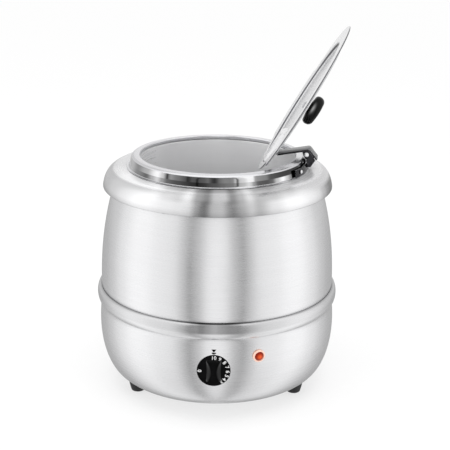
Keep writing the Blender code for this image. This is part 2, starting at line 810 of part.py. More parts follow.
def lid_face(bm, lift, steps):
    """One face of the lid, raised by lift, in the hinge line's frame. Returns its rim."""
    radii = [0.020, 0.034, 0.043, 0.049, 0.060, 0.080, 0.090, 0.0935, 0.0970, None]

    def vertex(r, angle):
        x, y = r * math.cos(angle), r * math.sin(angle)
        return bm.verts.new((x - HINGE_X, y, LID_ZERO_Z + lid_height(x, y) + lift - HINGE_Z))

    centre = vertex(0, 0)
    angles = [math.remainder(2 * math.pi * (i + 0.5) / steps, 2 * math.pi) for i in range(steps)]
    rings = [[vertex(r or lid_edge_radius(angle), angle) for angle in angles] for r in radii]
    for i in range(steps):
        j = (i + 1) % steps
        bm.faces.new((centre, rings[0][i], rings[0][j]))
        for ring, following in zip(rings, rings[1:]):
            bm.faces.new((ring[i], following[i], following[j], ring[j]))
    return rings[-1]


def make_lid_plate(hinge):
    steps = 48
    bm = bmesh.new()
    under, top = lid_face(bm, 0, steps), lid_face(bm, LID_WALL, steps)
    for i in range(steps):
        j = (i + 1) % steps
        bm.faces.new((under[i], under[j], top[j], top[i]))
    lid = finish_object("lid_plate", bm, "polished_steel")
    lid.parent = hinge
    holes = [attach(turned("knob_hole", disc(KNOB_BORE_R, -0.01, 0.03), None), hinge, z=LID_ZERO_Z)]
    for side in (-1, 1):
        hole = turned(f"rivet_hole_{side}", disc(RIVET_HOLE_R, -0.01, 0.01), None)
        holes.append(attach(hole, hinge, RIVET_X, side * RIVET_Y, LID_ZERO_Z))
    cut(lid, *holes)


def attach(obj, hinge, x=0.0, y=0.0, z=0.0):
    """Hangs a piece on the hinge line; the place is the closed lid's, in the kettle's frame."""
    obj.parent = hinge
    obj.matrix_basis = Matrix.Translation((x - HINGE_X, y, z - HINGE_Z)) @ obj.matrix_basis
    return obj


def make_knob(hinge):
    crown = LID_ZERO_Z + DOME_STEP + DOME_CROWN
    top = crown + LID_WALL + GAP
    washer = disc(0.0090, 0, KNOB_WASHER_THICKNESS, hole=KNOB_BORE_R)
    attach(turned("knob_washer", washer, "polished_steel"), hinge, z=top)
    knob_profile = [
        (0, 0.0186),
        (0.0140, 0.0182),
        (0.0190, 0.0160),
        (0.0212, 0.0115),
        (0.0205, 0.0070),
        (0.0170, 0.0042),
        (0.0085, 0.0032),
        (0.0078, 0),
        (KNOB_BORE_R, 0),
        (KNOB_BORE_R, 0.0120),
        (0, 0.0120),
    ]
    knob = turned("lid_knob", knob_profile, "black_plastic", steps=20)
    attach(knob, hinge, z=top + KNOB_WASHER_THICKNESS + GAP)
    under = Matrix.Rotation(math.pi, 4, "X")
    bolt = screw("knob_screw", 0.0050, 0.0024, 0.0025, 0.0120, "plated_steel", under)
    attach(bolt, hinge, z=crown - GAP)


def make_hinge_leaf(hinge):
    """The plate riveted to the lid, with a knuckle each side of the arm's eye, the pin and the rivets."""
    low = LID_ZERO_Z + LID_WALL + GAP - HINGE_Z
    high = low + LEAF_THICKNESS
    half = ARM_HALF_WIDTH
    knuckle = arc((0, 0), (HINGE_EYE_R, HINGE_EYE_R), 200, -75, 12)
    outline = [(-0.0170, low), (-0.0170, high), (-0.0052, high)] + knuckle + [(0.0009, low)]
    leaf = prism("hinge_leaf", flipped(outline), -half, half, "polished_steel", across(0, 0))
    corner = [(-0.0062, -0.0080), (0.0080, -0.0080), (0.0080, 0.0080), (-0.0062, 0.0080)]
    slot_half = LEAF_SLOT_HALF_WIDTH
    slot = prism("leaf_slot", flipped(corner), -slot_half, slot_half, None, across(0, 0))
    bore = turned("leaf_bore", disc(HINGE_BORE_R, -HINGE_CUTTER, HINGE_CUTTER), None, across(0, 0))
    for piece in (leaf, slot, bore):
        piece.parent = hinge
    cut(leaf, slot, bore)
    for i, side in enumerate((-1, 1)):
        hole = turned(f"leaf_rivet_hole_{side}", disc(RIVET_HOLE_R, -0.01, 0.01), None)
        attach(hole, hinge, RIVET_X, side * RIVET_Y, LID_ZERO_Z)
        cut(leaf, hole)
        rivet = screw(f"hinge_rivet_{i + 1}", 0.0030, 0.0014, 0.0015, 0.0034, "polished_steel", upright())
        attach(rivet, hinge, RIVET_X, side * RIVET_Y, HINGE_Z + high + GAP)
    pin = [(0, half + 0.0014), (0.0022, half + 0.0012), (0.0026, half + GAP), (0.0016, half + GAP)]
    pin += [(r, -z) for r, z in reversed(pin)]
    hinge_pin = turned("hinge_pin", pin, "polished_steel", across(0, 0))
    hinge_pin.parent = hinge


def make_lid():
    hinge = bpy.data.objects.new("lid_hinge", None)
    bpy.context.collection.objects.link(hinge)
    hinge.location = (HINGE_X, 0, HINGE_Z)
    hinge.rotation_euler = (0, LID_OPEN_ANGLE, 0)
    make_lid_plate(hinge)
    make_knob(hinge)
    make_hinge_leaf(hinge)


def make_turned_ring():
    """The loose lid ring with its bracket, arm and lid, turned a little about the kettle's axis."""
    others = set(bpy.data.objects)
    make_lid_ring()
    make_hinge_bracket()
    make_hinge_arm()
    make_lid()
    carried = [obj for obj in bpy.data.objects if obj not in others and obj.parent is None]
    turn = bpy.data.objects.new("ring_turn", None)
    bpy.context.collection.objects.link(turn)
    turn.rotation_euler = (0, 0, RING_TURN)
    for obj in carried:
        obj.parent = turn


clear_scene()
make_base_bowl()
make_barrel_shell()
make_collar()
make_heating_well()
make_insert_pot()
make_heater()
make_thermostat()
make_dial()
make_pilot_lamp()
make_wiring()
make_cord()
make_base()
make_feet()
make_turned_ring()
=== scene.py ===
import json
import math

import bmesh
import bpy
from mathutils import Matrix, Vector


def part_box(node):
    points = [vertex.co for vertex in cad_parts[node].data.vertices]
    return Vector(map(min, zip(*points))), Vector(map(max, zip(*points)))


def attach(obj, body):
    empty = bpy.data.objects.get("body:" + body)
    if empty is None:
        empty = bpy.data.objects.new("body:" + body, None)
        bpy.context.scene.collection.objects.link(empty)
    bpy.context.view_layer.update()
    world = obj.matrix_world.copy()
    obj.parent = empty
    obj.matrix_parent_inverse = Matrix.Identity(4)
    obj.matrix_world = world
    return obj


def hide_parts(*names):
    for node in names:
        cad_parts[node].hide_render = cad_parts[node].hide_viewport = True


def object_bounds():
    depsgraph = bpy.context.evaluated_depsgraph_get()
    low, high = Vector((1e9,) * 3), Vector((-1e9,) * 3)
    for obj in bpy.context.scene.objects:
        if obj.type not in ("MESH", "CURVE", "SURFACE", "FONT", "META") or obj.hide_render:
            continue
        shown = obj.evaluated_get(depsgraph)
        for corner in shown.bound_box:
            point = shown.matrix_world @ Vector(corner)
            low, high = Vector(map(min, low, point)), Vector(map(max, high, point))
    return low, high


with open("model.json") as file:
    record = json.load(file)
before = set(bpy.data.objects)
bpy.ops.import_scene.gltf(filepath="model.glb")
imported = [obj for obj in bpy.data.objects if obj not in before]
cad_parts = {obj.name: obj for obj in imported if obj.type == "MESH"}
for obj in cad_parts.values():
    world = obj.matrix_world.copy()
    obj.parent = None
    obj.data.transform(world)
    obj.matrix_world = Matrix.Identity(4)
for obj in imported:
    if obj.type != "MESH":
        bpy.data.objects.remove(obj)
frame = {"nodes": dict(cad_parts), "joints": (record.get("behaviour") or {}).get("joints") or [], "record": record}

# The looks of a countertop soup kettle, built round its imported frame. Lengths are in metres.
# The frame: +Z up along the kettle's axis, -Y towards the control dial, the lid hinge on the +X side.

cad_low, cad_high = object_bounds()
bowl_low, bowl_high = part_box("base_bowl")
barrel_low, barrel_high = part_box("barrel_shell")
collar_low, collar_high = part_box("collar")
ring_low, ring_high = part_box("lid_ring")
SEAM_Z = bowl_high.z
BARREL_R = barrel_high.x
joints = {j["name"]: j for j in frame["joints"]}

# Facets round a turned piece, and where smooth shading stops
SHELL_STEPS = 160
LID_STEPS = 240
PART_STEPS = 48
SHARP_ANGLE = math.radians(38)
ON_AXIS = 1e-7  # a point nearer than this is on the axis
WELD_DISTANCE = 1e-6

# Sheet metal
SHELL_WALL = 0.0012
THIN_WALL = 0.001
STEEL_RELIEF = 0.0000022  # depth of the polishing lines

# Solid pieces with eased edges
EASING = 0.0003
ARM_EASING = 0.0004
FINE_EASING = 0.0002
FACET_AREA = 4e-6  # the facets of the hinge's eased edges are smaller

# The jacket: the seam, the bead under it, the belly below, and the barrel's taper and spigot
SEAM_STEP = 0.0004
BEAD_HALF_HEIGHT = 0.0113
BEAD_RISE = 0.0057
CREASE_DROP = 0.0242
BELLY_CONTROLS = ((0.1757, 0.0379), (0.1546, 0.0018), (0.1445, 0.0018))
BOTTOM_LEDGE = 0.014  # the bowl's lap over the base plate
BARREL_TAPER = 0.024
BARREL_TAPER_POWER = 2.2
BARREL_LEVELS = 24
SPIGOT_INSET = 0.0011
SPIGOT_STEP = 0.002

# The collar
COLLAR_FLAT_R = 0.138
COLLAR_CLEARANCE = 0.0016  # between its edge and the barrel
NECK_R = 0.1184
NECK_LEDGE = 0.012
NECK_BEND = 0.002
RING_GAP = 0.0004  # between the collar's top and the ring

# The pot
POT_INSET = 0.023  # of its wall from the outside of the heating well's rim
POT_CORNER = 0.018
POT_RIM_BEND = 0.0014

# The lid ring
RING_BORE_R = 0.1091
LIP_R = 0.119
SKIRT_TOP_R = 0.12
SKIRT_FOOT_R = 0.1242
SKIRT_STEEPNESS = 0.6  # its faces point up or down by less
RING_BEND = 0.0022

# The lid's pressed shape
TONGUE_R = 0.107
DOME_R = 0.092
DOME_STEP = 0.005
DOME_CROWN = 0.003
DOME_RINGS = 22
STEP_WIDTH = 0.005
STEP_RINGS = 6
# Where painted dark reflection lines lie on the lid: across the step, and this far in from the rim
STEP_PAINTED_LINE = (DOME_R + 0.0018, DOME_R + 0.0032)
RIM_PAINTED_LINE = 0.0004
POCKET_X = 0.049
POCKET_HALF_WIDTH = 0.018
POCKET_END_SLOPE = 0.006
POCKET_SIDE_SLOPE = 0.005
NOTCH_ANGLE = math.radians(114.5)
NOTCH_HALF_ANGLE = math.radians(9.5)
NOTCH_DEPTH = 0.009

# The hem along the lid's rim, as (distance in from the rim, rise) on the sheet's two faces
HEM_UNDER = ((0.0026, 0), (0.0012, 0), (0.0003, 0.0002))
HEM_TOP = ((0.0034, 0), (0.0028, 0.0003), (0.0022, 0.0008), (0.0014, 0.001), (0.0005, 0.0006), (0, 0))

# The lid's knob
KNOB_NECK_R = 0.0078
KNOB_BORE_R = 0.0029
KNOB_BORE_DEPTH = 0.012

# The dial: its hollow back, its shaft's bore and the grip bar on its face
DIAL_HUB_R = 0.0095
DIAL_HUB_DEPTH = 0.0052
DIAL_BORE_R = 0.0033
DIAL_GRIP = 0.005
GRIP_HALF_LENGTH = 0.015
GRIP_END_HALF = 0.0092
GRIP_WAIST = 0.0044
GRIP_SECTIONS = 24

# The dial's numbers, clockwise from the top
NUMBER_R = 0.0183
NUMBER_HEIGHT = 0.005
NUMBER_STEP = math.radians(26.5)  # the first step, before closing up
NUMBER_CLOSING = math.radians(0.8)  # by which the angles close up, for each number squared
LOWEST_NUMBER = 3
ZERO_ANGLE = math.radians(270)
FONT_SIZE = 1.42  # in letter heights
FONT_WEIGHT = 0.022
SURFACE_LIFT = 0.00008  # of a printed mark off its surface

# The marks above the dial
POINTER_HALF_WIDTH = 0.0033
POINTER_HEIGHT = 0.0034
BOW_R = 0.0036
BOW_INNER_R = 0.002
BOW_INNER_HEIGHT = 0.0015

# The lamp, with heights over the bowl's face
LENS_R = 0.0061
LENS_BASE = 0.0008
LENS_RISE = 0.0048
LENS_SHARE = "share_of_radius"  # a lens vertex's distance from the middle
BEZEL_R = 0.0086
BEZEL_BORE_R = 0.0064
BEZEL_BASE = 0.0004
BEZEL_HEIGHT = 0.0031

# The rubber feet
FOOT_TREAD_R = 0.0086
FOOT_RECESS_R = 0.0055
FOOT_RECESS = 0.0075
FOOT_BORE_R = 0.0025

# The cord, its sleeve and the coil it lies in behind the kettle
CORD_R = 0.0035
RELIEF_RIBS = 5
RELIEF_FLANGE_R = 0.011
RELIEF_TAIL_R = 0.0069
RELIEF_TAIL_END = -0.013  # inside the bowl's wall
RELIEF_BORE_R = 0.0045
COIL_TURNS = 2.5
COIL_STEPS = 12  # for each turn
COIL_R = 0.052
COIL_CLOSING = 0.0085  # for each turn
COIL_DISTANCE = 0.075  # from the bowl's wall

# The plug
PIN_LENGTH = 0.019
PIN_R = 0.0024
PIN_SPREAD = 0.0095

# Studio
STUDIO_STRENGTH = 1.22
BACKDROP_STRENGTH = 1.05
WALL_RISE = (-0.24, -0.08)  # slopes between which the back wall's low brightness turns into the high one
FLOOR_SHADE = (-0.8, -0.4, 0.86, 1.0)  # slope, slope, share of the light at the first and at the second
CEILING_RISE = (0.75, 0.92)  # slopes between which the walls turn into the ceiling
WHITE = (1, 1, 1, 1)
BLACK = (0, 0, 0, 1)

# Wall brightness against the turn from the lens in degrees: on its side, and behind the kettle low and high
WALL_FRONT = (
    (0, 0.88), (8, 0.86), (17, 0.49), (23.5, 0.45), (24.5, 0.1), (26.5, 0.1), (27.5, 0.47), (33, 0.56),
    (41, 0.8), (60, 0.85), (74, 0.96),
)
WALL_BACK_LOW = ((88, 0.97), (106, 0.78), (124, 0.55), (140, 0.42), (166, 0.36), (174, 0.66), (180, 0.68))
WALL_BACK_HIGH = ((88, 0.97), (106, 0.8), (124, 0.6), (150, 0.56), (166, 0.56), (174, 0.72), (180, 0.74))

# Camera
CAMERA_PLACE = (0.0109, -1.411, 0.6697)
CAMERA_PITCH = math.radians(18.04)
CAMERA_ROLL = math.radians(0.59)
CAMERA_LENS = 82.87


# ---- shader nodes


class Shader:
    """A material, or the world, built node by node."""

    def __init__(self, owner):
        owner.use_nodes = True
        self.tree = owner.node_tree
        self.tree.nodes.clear()

    def add(self, kind, settings=None, **inputs):
        node = self.tree.nodes.new("ShaderNode" + kind)
        for name, value in (settings or {}).items():
            setattr(node, name, value)
        for name, value in inputs.items():
            self.feed(node, name.replace("_", " "), value)
        return node

    def feed(self, node, name, value):
        """Sets an input by its name or number, or links it when the value is an output or a node."""
        key = int(name[5:]) if name.startswith("input") else name
        socket = node.inputs[key]
        if isinstance(value, bpy.types.Node):
            value = value.outputs[0]
        if isinstance(value, bpy.types.NodeSocket):
            self.tree.links.new(value, socket)
        else:
            socket.default_value = value

    def maths(self, operation, *values, clamp=False):
        inputs = {f"input{i}": value for i, value in enumerate(values)}
        return self.add("Math", {"operation": operation, "use_clamp": clamp}, **inputs)

    def plus(self, first, second):
        return self.maths("ADD", first, second)

    def times(self, first, second):
        return self.maths("MULTIPLY", first, second)

    def place(self):
        """A point's place in its object."""
        return self.add("TexCoord").outputs["Object"]

    def span(self, value, low, high, to_low=0.0, to_high=1.0):
        """The value's place between low and high, carried smoothly over to another range."""
        ends = {"From_Min": low, "From_Max": high, "To_Min": to_low, "To_Max": to_high}
        return self.add("MapRange", {"interpolation_type": "SMOOTHSTEP"}, Value=value, **ends)

    def mix(self, factor, first, second):
        """The colour between two others."""
        return self.add("Mix", {"data_type": "RGBA"}, input0=factor, input6=first, input7=second).outputs[2]

    def ramp(self, factor, stops):
        """Greys along a factor, from (place, brightness) stops."""
        node = self.add("ValToRGB", Fac=factor)
        node.color_ramp.interpolation = "EASE"
        elements = node.color_ramp.elements
        while len(elements) < len(stops):
            elements.new(0.5)
        for element, (place, brightness) in zip(elements, stops):
            element.position = place
            element.color = (brightness, brightness, brightness, 1.0)
        return node

    def noise(self, vector, scale, detail=2.0, roughness=0.5):
        return self.add("TexNoise", Vector=vector, Scale=scale, Detail=detail, Roughness=roughness)

    def axes(self, source="Object"):
        """The X, Y and Z of a place in the object, or of another texture coordinate."""
        return self.add("SeparateXYZ", Vector=self.add("TexCoord").outputs[source]).outputs

    def angle(self, x, y):
        """The turn of a place round the Z axis from the front, in radians."""
        return self.maths("ARCTAN2", x, self.times(y, -1.0))

    def finish(self, colour, roughness, metallic, bump, bump_depth, normal=None, **more):
        """Closes a material: a Principled surface with a bump height, and a turned normal if it has one."""
        lift = self.add("Bump", Strength=1.0, Distance=bump_depth, Height=bump)
        if normal is not None:
            self.feed(lift, "Normal", normal)
        look = {"Base_Color": colour, "Roughness": roughness, "Metallic": metallic, "Normal": lift, **more}
        self.add("OutputMaterial", Surface=self.add("BsdfPrincipled", **look))


def new_shader(name):
    material = bpy.data.materials.new(name)
    return material, Shader(material)


# The direction the knob's painted highlight faces
KNOB_PAINTED_HIGHLIGHT = Vector((-0.3, -0.85, 0.43)).normalized()

# Painted reflections on each steel piece: how bright it is, round from the front in degrees
SKIRT_LOWER_PAINTED_REFLECTIONS = (
    (-180, 0.45), (-90, 0.65), (-72, 0.65), (-61, 0.3), (-50, 0.14), (-44, 0.4), (-40, 0.6), (-36, 0.3),
    (-32, 0.13), (-25, 0.08), (-18, 0.05), (-11, 0.05), (-6, 0.07), (-1, 0.08), (4, 0.14), (9.4, 0.33),
    (13, 0.75), (20, 0.75), (23.5, 0.3), (26, 0.11), (32, 0.09), (36, 0.12), (40, 0.5), (45, 0.89),
    (49, 0.6), (53, 0.25), (62, 0.31), (75, 0.5), (110, 0.6),
)
SKIRT_UPPER_PAINTED_REFLECTIONS = (
    (-180, 0.45), (-90, 0.65), (-72, 0.65), (-61, 0.34), (-50, 0.45), (-40, 0.85), (-35, 0.5),
    (-32.5, 0.02), (-30, 0.3), (-25, 0.19), (-20.5, 0.12), (-18, 0.03), (-15, 0.14), (-11, 0.16),
    (-6, 0.18), (-3, 0.05), (-1, 0.03), (1.5, 0.14), (4, 0.21), (9.4, 0.39), (11.5, 1.0), (22, 1.0),
    (24.5, 0.3), (31, 0.23), (35, 0.08), (45, 0.05), (53, 0.05), (62, 0.04), (70, 0.3), (80, 0.5),
    (110, 0.6),
)
COLLAR_LOWER_PAINTED_REFLECTIONS = (
    (-180, 0.8), (-90, 0.66), (-74, 0.75), (-60, 0.92), (-34, 1.0), (-24, 0.94), (-19, 0.92), (-13, 0.98),
    (-9, 0.6), (-5.5, 0.34), (-1.5, 0.54), (3.5, 0.6), (8, 0.54), (11.5, 0.62), (16, 0.72), (20, 0.56),
    (28, 0.86), (37, 1.0), (59, 1.0), (65, 0.74), (70, 0.46), (75, 0.24), (84, 0.1), (96, 0.25),
    (130, 0.8),
)
COLLAR_UPPER_PAINTED_REFLECTIONS = (
    (-180, 0.8), (-90, 0.7), (-74, 0.8), (-60, 0.95), (-33, 1.0), (-25, 0.76), (-19, 0.68), (-14, 0.9),
    (-9, 0.38), (-4.6, 0.25), (-0.5, 0.56), (3.6, 0.58), (7.6, 0.27), (11.7, 0.47), (16, 0.75),
    (20, 0.53), (28, 0.58), (37, 0.8), (47, 1.0), (90, 1.0), (130, 0.9),
)
BEAD_PAINTED_REFLECTIONS = (
    (-180, 0.86), (-40, 0.86), (-14, 0.86), (-9, 0.58), (-6.2, 0.35), (-3.1, 0.42), (-0.4, 0.5),
    (2.3, 0.41), (5.5, 0.38), (9, 0.5), (13, 0.8), (40, 0.86), (130, 0.86),
)
WAVE = ((0.0, 0.0), (0.045, 1.0), (0.09, 0.8), (0.2, 0.0))  # over half a turn
WAVE_ANGLE = math.radians(5)

# Painted shade along the seam above the bead, deepest at the front, as the share of light it leaves
SEAM_PAINTED_SHADE = (
    (-180, 0.8), (-30, 0.72), (-13, 0.42), (-7, 0.12), (7, 0.12), (11, 0.42), (25, 0.72), (130, 0.8),
)

# Heights: the bead's band of painted reflections, where upper painted reflections take over from lower ones, and
# painted shade along edges and down the pot
skirt_z = (ring_low.z + ring_high.z - 0.0026) / 2
BEAD_BAND = (SEAM_Z - 0.0146, SEAM_Z - 0.0108)
SKIRT_SPLIT = (skirt_z - 0.0003, skirt_z + 0.0003)
COLLAR_SPLIT = (collar_low.z + 0.014, collar_low.z + 0.021)
COLLAR_FLAT = (collar_low.z + 0.025, collar_low.z + 0.0268)
COLLAR_PAINTED_SHADE = ((collar_low.z - 0.001, collar_low.z + 0.01, 0.78),)
BARREL_PAINTED_SHADE = (
    (collar_low.z - 0.0004, collar_low.z - 0.003, 0.3),
    (SEAM_Z + 0.0001, SEAM_Z + 0.0007, SEAM_PAINTED_SHADE),
)
BEAD_PAINTED_SHADE = ((SEAM_Z, SEAM_Z - 0.001, SEAM_PAINTED_SHADE),)
POT_PAINTED_SHADE = ((0.23, 0.3, 0.88),)


def rgb(red, green, blue):
    return (red, green, blue, 1.0)


def turned_coordinates(shader, around, along):
    """Coordinates that change slowly round the kettle's axis and quickly up and across it."""
    x, y, z = shader.axes()
    square = shader.plus(shader.times(x, x), shader.times(y, y))
    radius = shader.maths("SQRT", square)
    level = shader.times(shader.plus(z, shader.times(radius, 0.7)), along)
    x, y = shader.times(x, around), shader.times(y, around)
    return shader.add("CombineXYZ", X=x, Y=y, Z=level)


def round_the_axis(shader, stops):
    """Greys that change round the kettle's axis, from (degrees from the front, brightness) stops."""
    x, y, _ = shader.axes()
    place = shader.plus(shader.maths("DIVIDE", shader.angle(x, y), 2 * math.pi), 0.5)
    return shader.ramp(place, [(degrees / 360 + 0.5, brightness) for degrees, brightness in stops])


def height_share(shader, low, high, at_low=0.0, at_high=1.0):
    """A share that changes smoothly between two heights."""
    return shader.span(shader.axes()[2], low, high, at_low, at_high)


def waved_normal(shader):
    """The surface's normal, turned a little round the kettle's axis on both sides of the front."""
    x, y, _ = shader.axes()
    angle = shader.angle(x, y)
    size = shader.ramp(shader.maths("DIVIDE", shader.maths("ABSOLUTE", angle), math.pi), WAVE)
    turn = shader.times(shader.maths("SIGN", angle), shader.times(size, WAVE_ANGLE))
    normal = shader.add("NewGeometry").outputs["Normal"]
    return shader.add("VectorRotate", {"rotation_type": "Z_AXIS"}, Vector=normal, Angle=turn)


def steel(
    name, tint, roughness, brushing, smudges, anisotropy=0.0, dirt=0.0, metal=1.0,
    painted_reflections=(), upper_painted_reflections=(), split=None, above=None, waved=False, painted_shades=(),
):
    """Stainless sheet: lines left round the piece by polishing, hairline scratches and soft wipe marks.

    Painted reflections shade it round the axis: upper ones take over between the split's two heights, and with
    `above` they apply above two heights only. Each painted shade is (height, height, share of the light at the
    first, or that share round the axis). Metal is a share, or two heights and their shares. A waved piece isn't
    quite round at its front.
    """
    material, shader = new_shader(name)
    lines = shader.noise(turned_coordinates(shader, around=14, along=2600), 1.0, 3.0, 0.6)
    broad = shader.noise(turned_coordinates(shader, around=5, along=240), 1.0)
    wipes = shader.noise(shader.place(), 16.0, 3.0, 0.6)
    hairs = shader.noise(turned_coordinates(shader, around=45, along=900), 1.0, 1.0)
    scratch = shader.span(hairs, 0.74, 0.8)
    rough = shader.plus(roughness, shader.span(lines, 0.2, 0.8, -brushing * 0.25, brushing * 0.25))
    rough = shader.plus(rough, shader.span(wipes, 0.35, 0.75, 0.0, smudges))
    rough = shader.plus(rough, shader.times(scratch, 0.1))
    light = tuple(min(1.0, c * 1.01) for c in tint)
    dark = tuple(c * (0.99 - dirt) for c in tint)
    colour = shader.mix(shader.span(broad, 0.25, 0.75), rgb(*dark), rgb(*light))
    # Painted reflections: greys round the axis darken the colour, and upper ones take over between two heights
    if painted_reflections:
        shade = round_the_axis(shader, painted_reflections)
        if upper_painted_reflections:
            shade = shader.mix(height_share(shader, *split), shade, round_the_axis(shader, upper_painted_reflections))
        if above:
            shade = shader.mix(height_share(shader, *above), WHITE, shade)
        colour = shader.mix(shade, BLACK, colour)
    # Painted shade: the colour darkens towards the first of two heights
    for low, high, share in painted_shades:
        if isinstance(share, tuple):
            share = round_the_axis(shader, share)
        colour = shader.mix(height_share(shader, low, high, share, 1.0), BLACK, colour)
    if isinstance(metal, tuple):
        metal = height_share(shader, *metal)
    ridges = shader.times(lines, brushing)
    height = shader.maths("SUBTRACT", ridges, shader.times(scratch, 0.5))
    options = {}
    if waved:
        options["normal"] = waved_normal(shader)
    if anisotropy:
        options["Anisotropic"] = anisotropy
        options["Anisotropic_Rotation"] = 0.25
        options["Tangent"] = shader.add("Tangent", {"direction_type": "RADIAL", "axis": "Z"})
    shader.finish(colour, rough, metal, height, STEEL_RELIEF, **options)
    return material


def moulded(name, tint, roughness, grain, grain_scale=900.0, shine=0.5):
    """Moulded plastic or rubber: fine grain, slight dust and rubbing marks."""
    material, shader = new_shader(name)
    place = shader.place()
    fine = shader.noise(place, grain_scale, 3.0, 0.6)
    rubbed = shader.noise(place, 60.0, 3.0, 0.6)
    light = tuple(min(1.0, c * 1.5 + 0.002) for c in tint)
    colour = shader.mix(shader.span(rubbed, 0.35, 0.8), rgb(*tint), rgb(*light))
    rough = shader.plus(roughness, shader.span(rubbed, 0.3, 0.8, -0.04, 0.08))
    shader.finish(colour, rough, 0.0, shader.times(fine, grain), 0.00003, Specular_IOR_Level=shine)
    return material


def knob_material():
    """Glossy black plastic with one painted highlight, glowing along its side."""
    material, shader = new_shader("knob_plastic_gloss")
    fine = shader.noise(shader.place(), 700.0)
    normal = shader.add("NewGeometry").outputs["Normal"]
    # Painted highlight: the plastic glows where its normal faces a fixed direction
    facing = shader.add("VectorMath", {"operation": "DOT_PRODUCT"}, input0=normal, input1=KNOB_PAINTED_HIGHLIGHT)
    painted_highlight = shader.maths("POWER", shader.maths("MAXIMUM", facing.outputs["Value"], 0.0), 26.0)
    colour = shader.mix(shader.span(fine, 0.3, 0.7), rgb(0.003, 0.003, 0.003), rgb(0.006, 0.006, 0.006))
    glow = shader.times(painted_highlight, 0.3)
    light = {"Emission_Color": WHITE, "Emission_Strength": glow, "Specular_IOR_Level": 0.12}
    shader.finish(colour, 0.18, 0.0, fine, 0.00001, **light)
    return material


def lens_material():
    """Orange-red plastic lit from behind: bright in the middle, deep red towards the rim, faintly clouded."""
    material, shader = new_shader("lamp_amber")
    out = shader.add("Attribute", {"attribute_name": LENS_SHARE}).outputs["Fac"]
    cloudy = shader.noise(shader.place(), 420.0)
    clouds = shader.span(cloudy, 0.3, 0.8, 0.0, 0.15)
    depth = shader.maths("ADD", shader.span(out, 0.05, 0.95), clouds, clamp=True)
    colour = shader.mix(depth, rgb(0.6, 0.08, 0.02), rgb(0.16, 0.008, 0.001))
    glow = shader.mix(depth, rgb(0.85, 0.12, 0.03), rgb(0.28, 0.014, 0.001))
    light = {"Emission_Color": glow, "Emission_Strength": 0.38, "Specular_IOR_Level": 0.15}
    shader.finish(colour, 0.16, 0.0, cloudy, 0.00004, **light)
    return material


def bezel_material():
    """The lamp's pale collar, with a painted glow for the light of the lens it holds."""
    material, shader = new_shader("lamp_collar_painted_glow")
    fine = shader.noise(shader.place(), 800.0)
    colour = shader.mix(shader.span(fine, 0.3, 0.7), rgb(0.8, 0.52, 0.42), rgb(0.88, 0.62, 0.52))
    # Painted glow: the collar emits a warm light of its own
    light = {"Emission_Color": rgb(1.0, 0.62, 0.48), "Emission_Strength": 0.24}
    shader.finish(colour, 0.28, 0.0, fine, 0.00002, **light)
    return material


def wool_material():
    material, shader = new_shader("mineral_wool_felt")
    fibres = shader.noise(shader.place(), 350.0, 6.0, 0.75)
    colour = shader.mix(shader.span(fibres, 0.3, 0.7), rgb(0.5, 0.44, 0.28), rgb(0.74, 0.68, 0.5))
    shader.finish(colour, 0.95, 0.0, fibres, 0.0006, Sheen_Weight=0.3)
    return material


satin = {
    "tint": (0.8, 0.8, 0.81), "roughness": 0.25, "brushing": 0.16, "smudges": 0.05, "anisotropy": 0.55
}

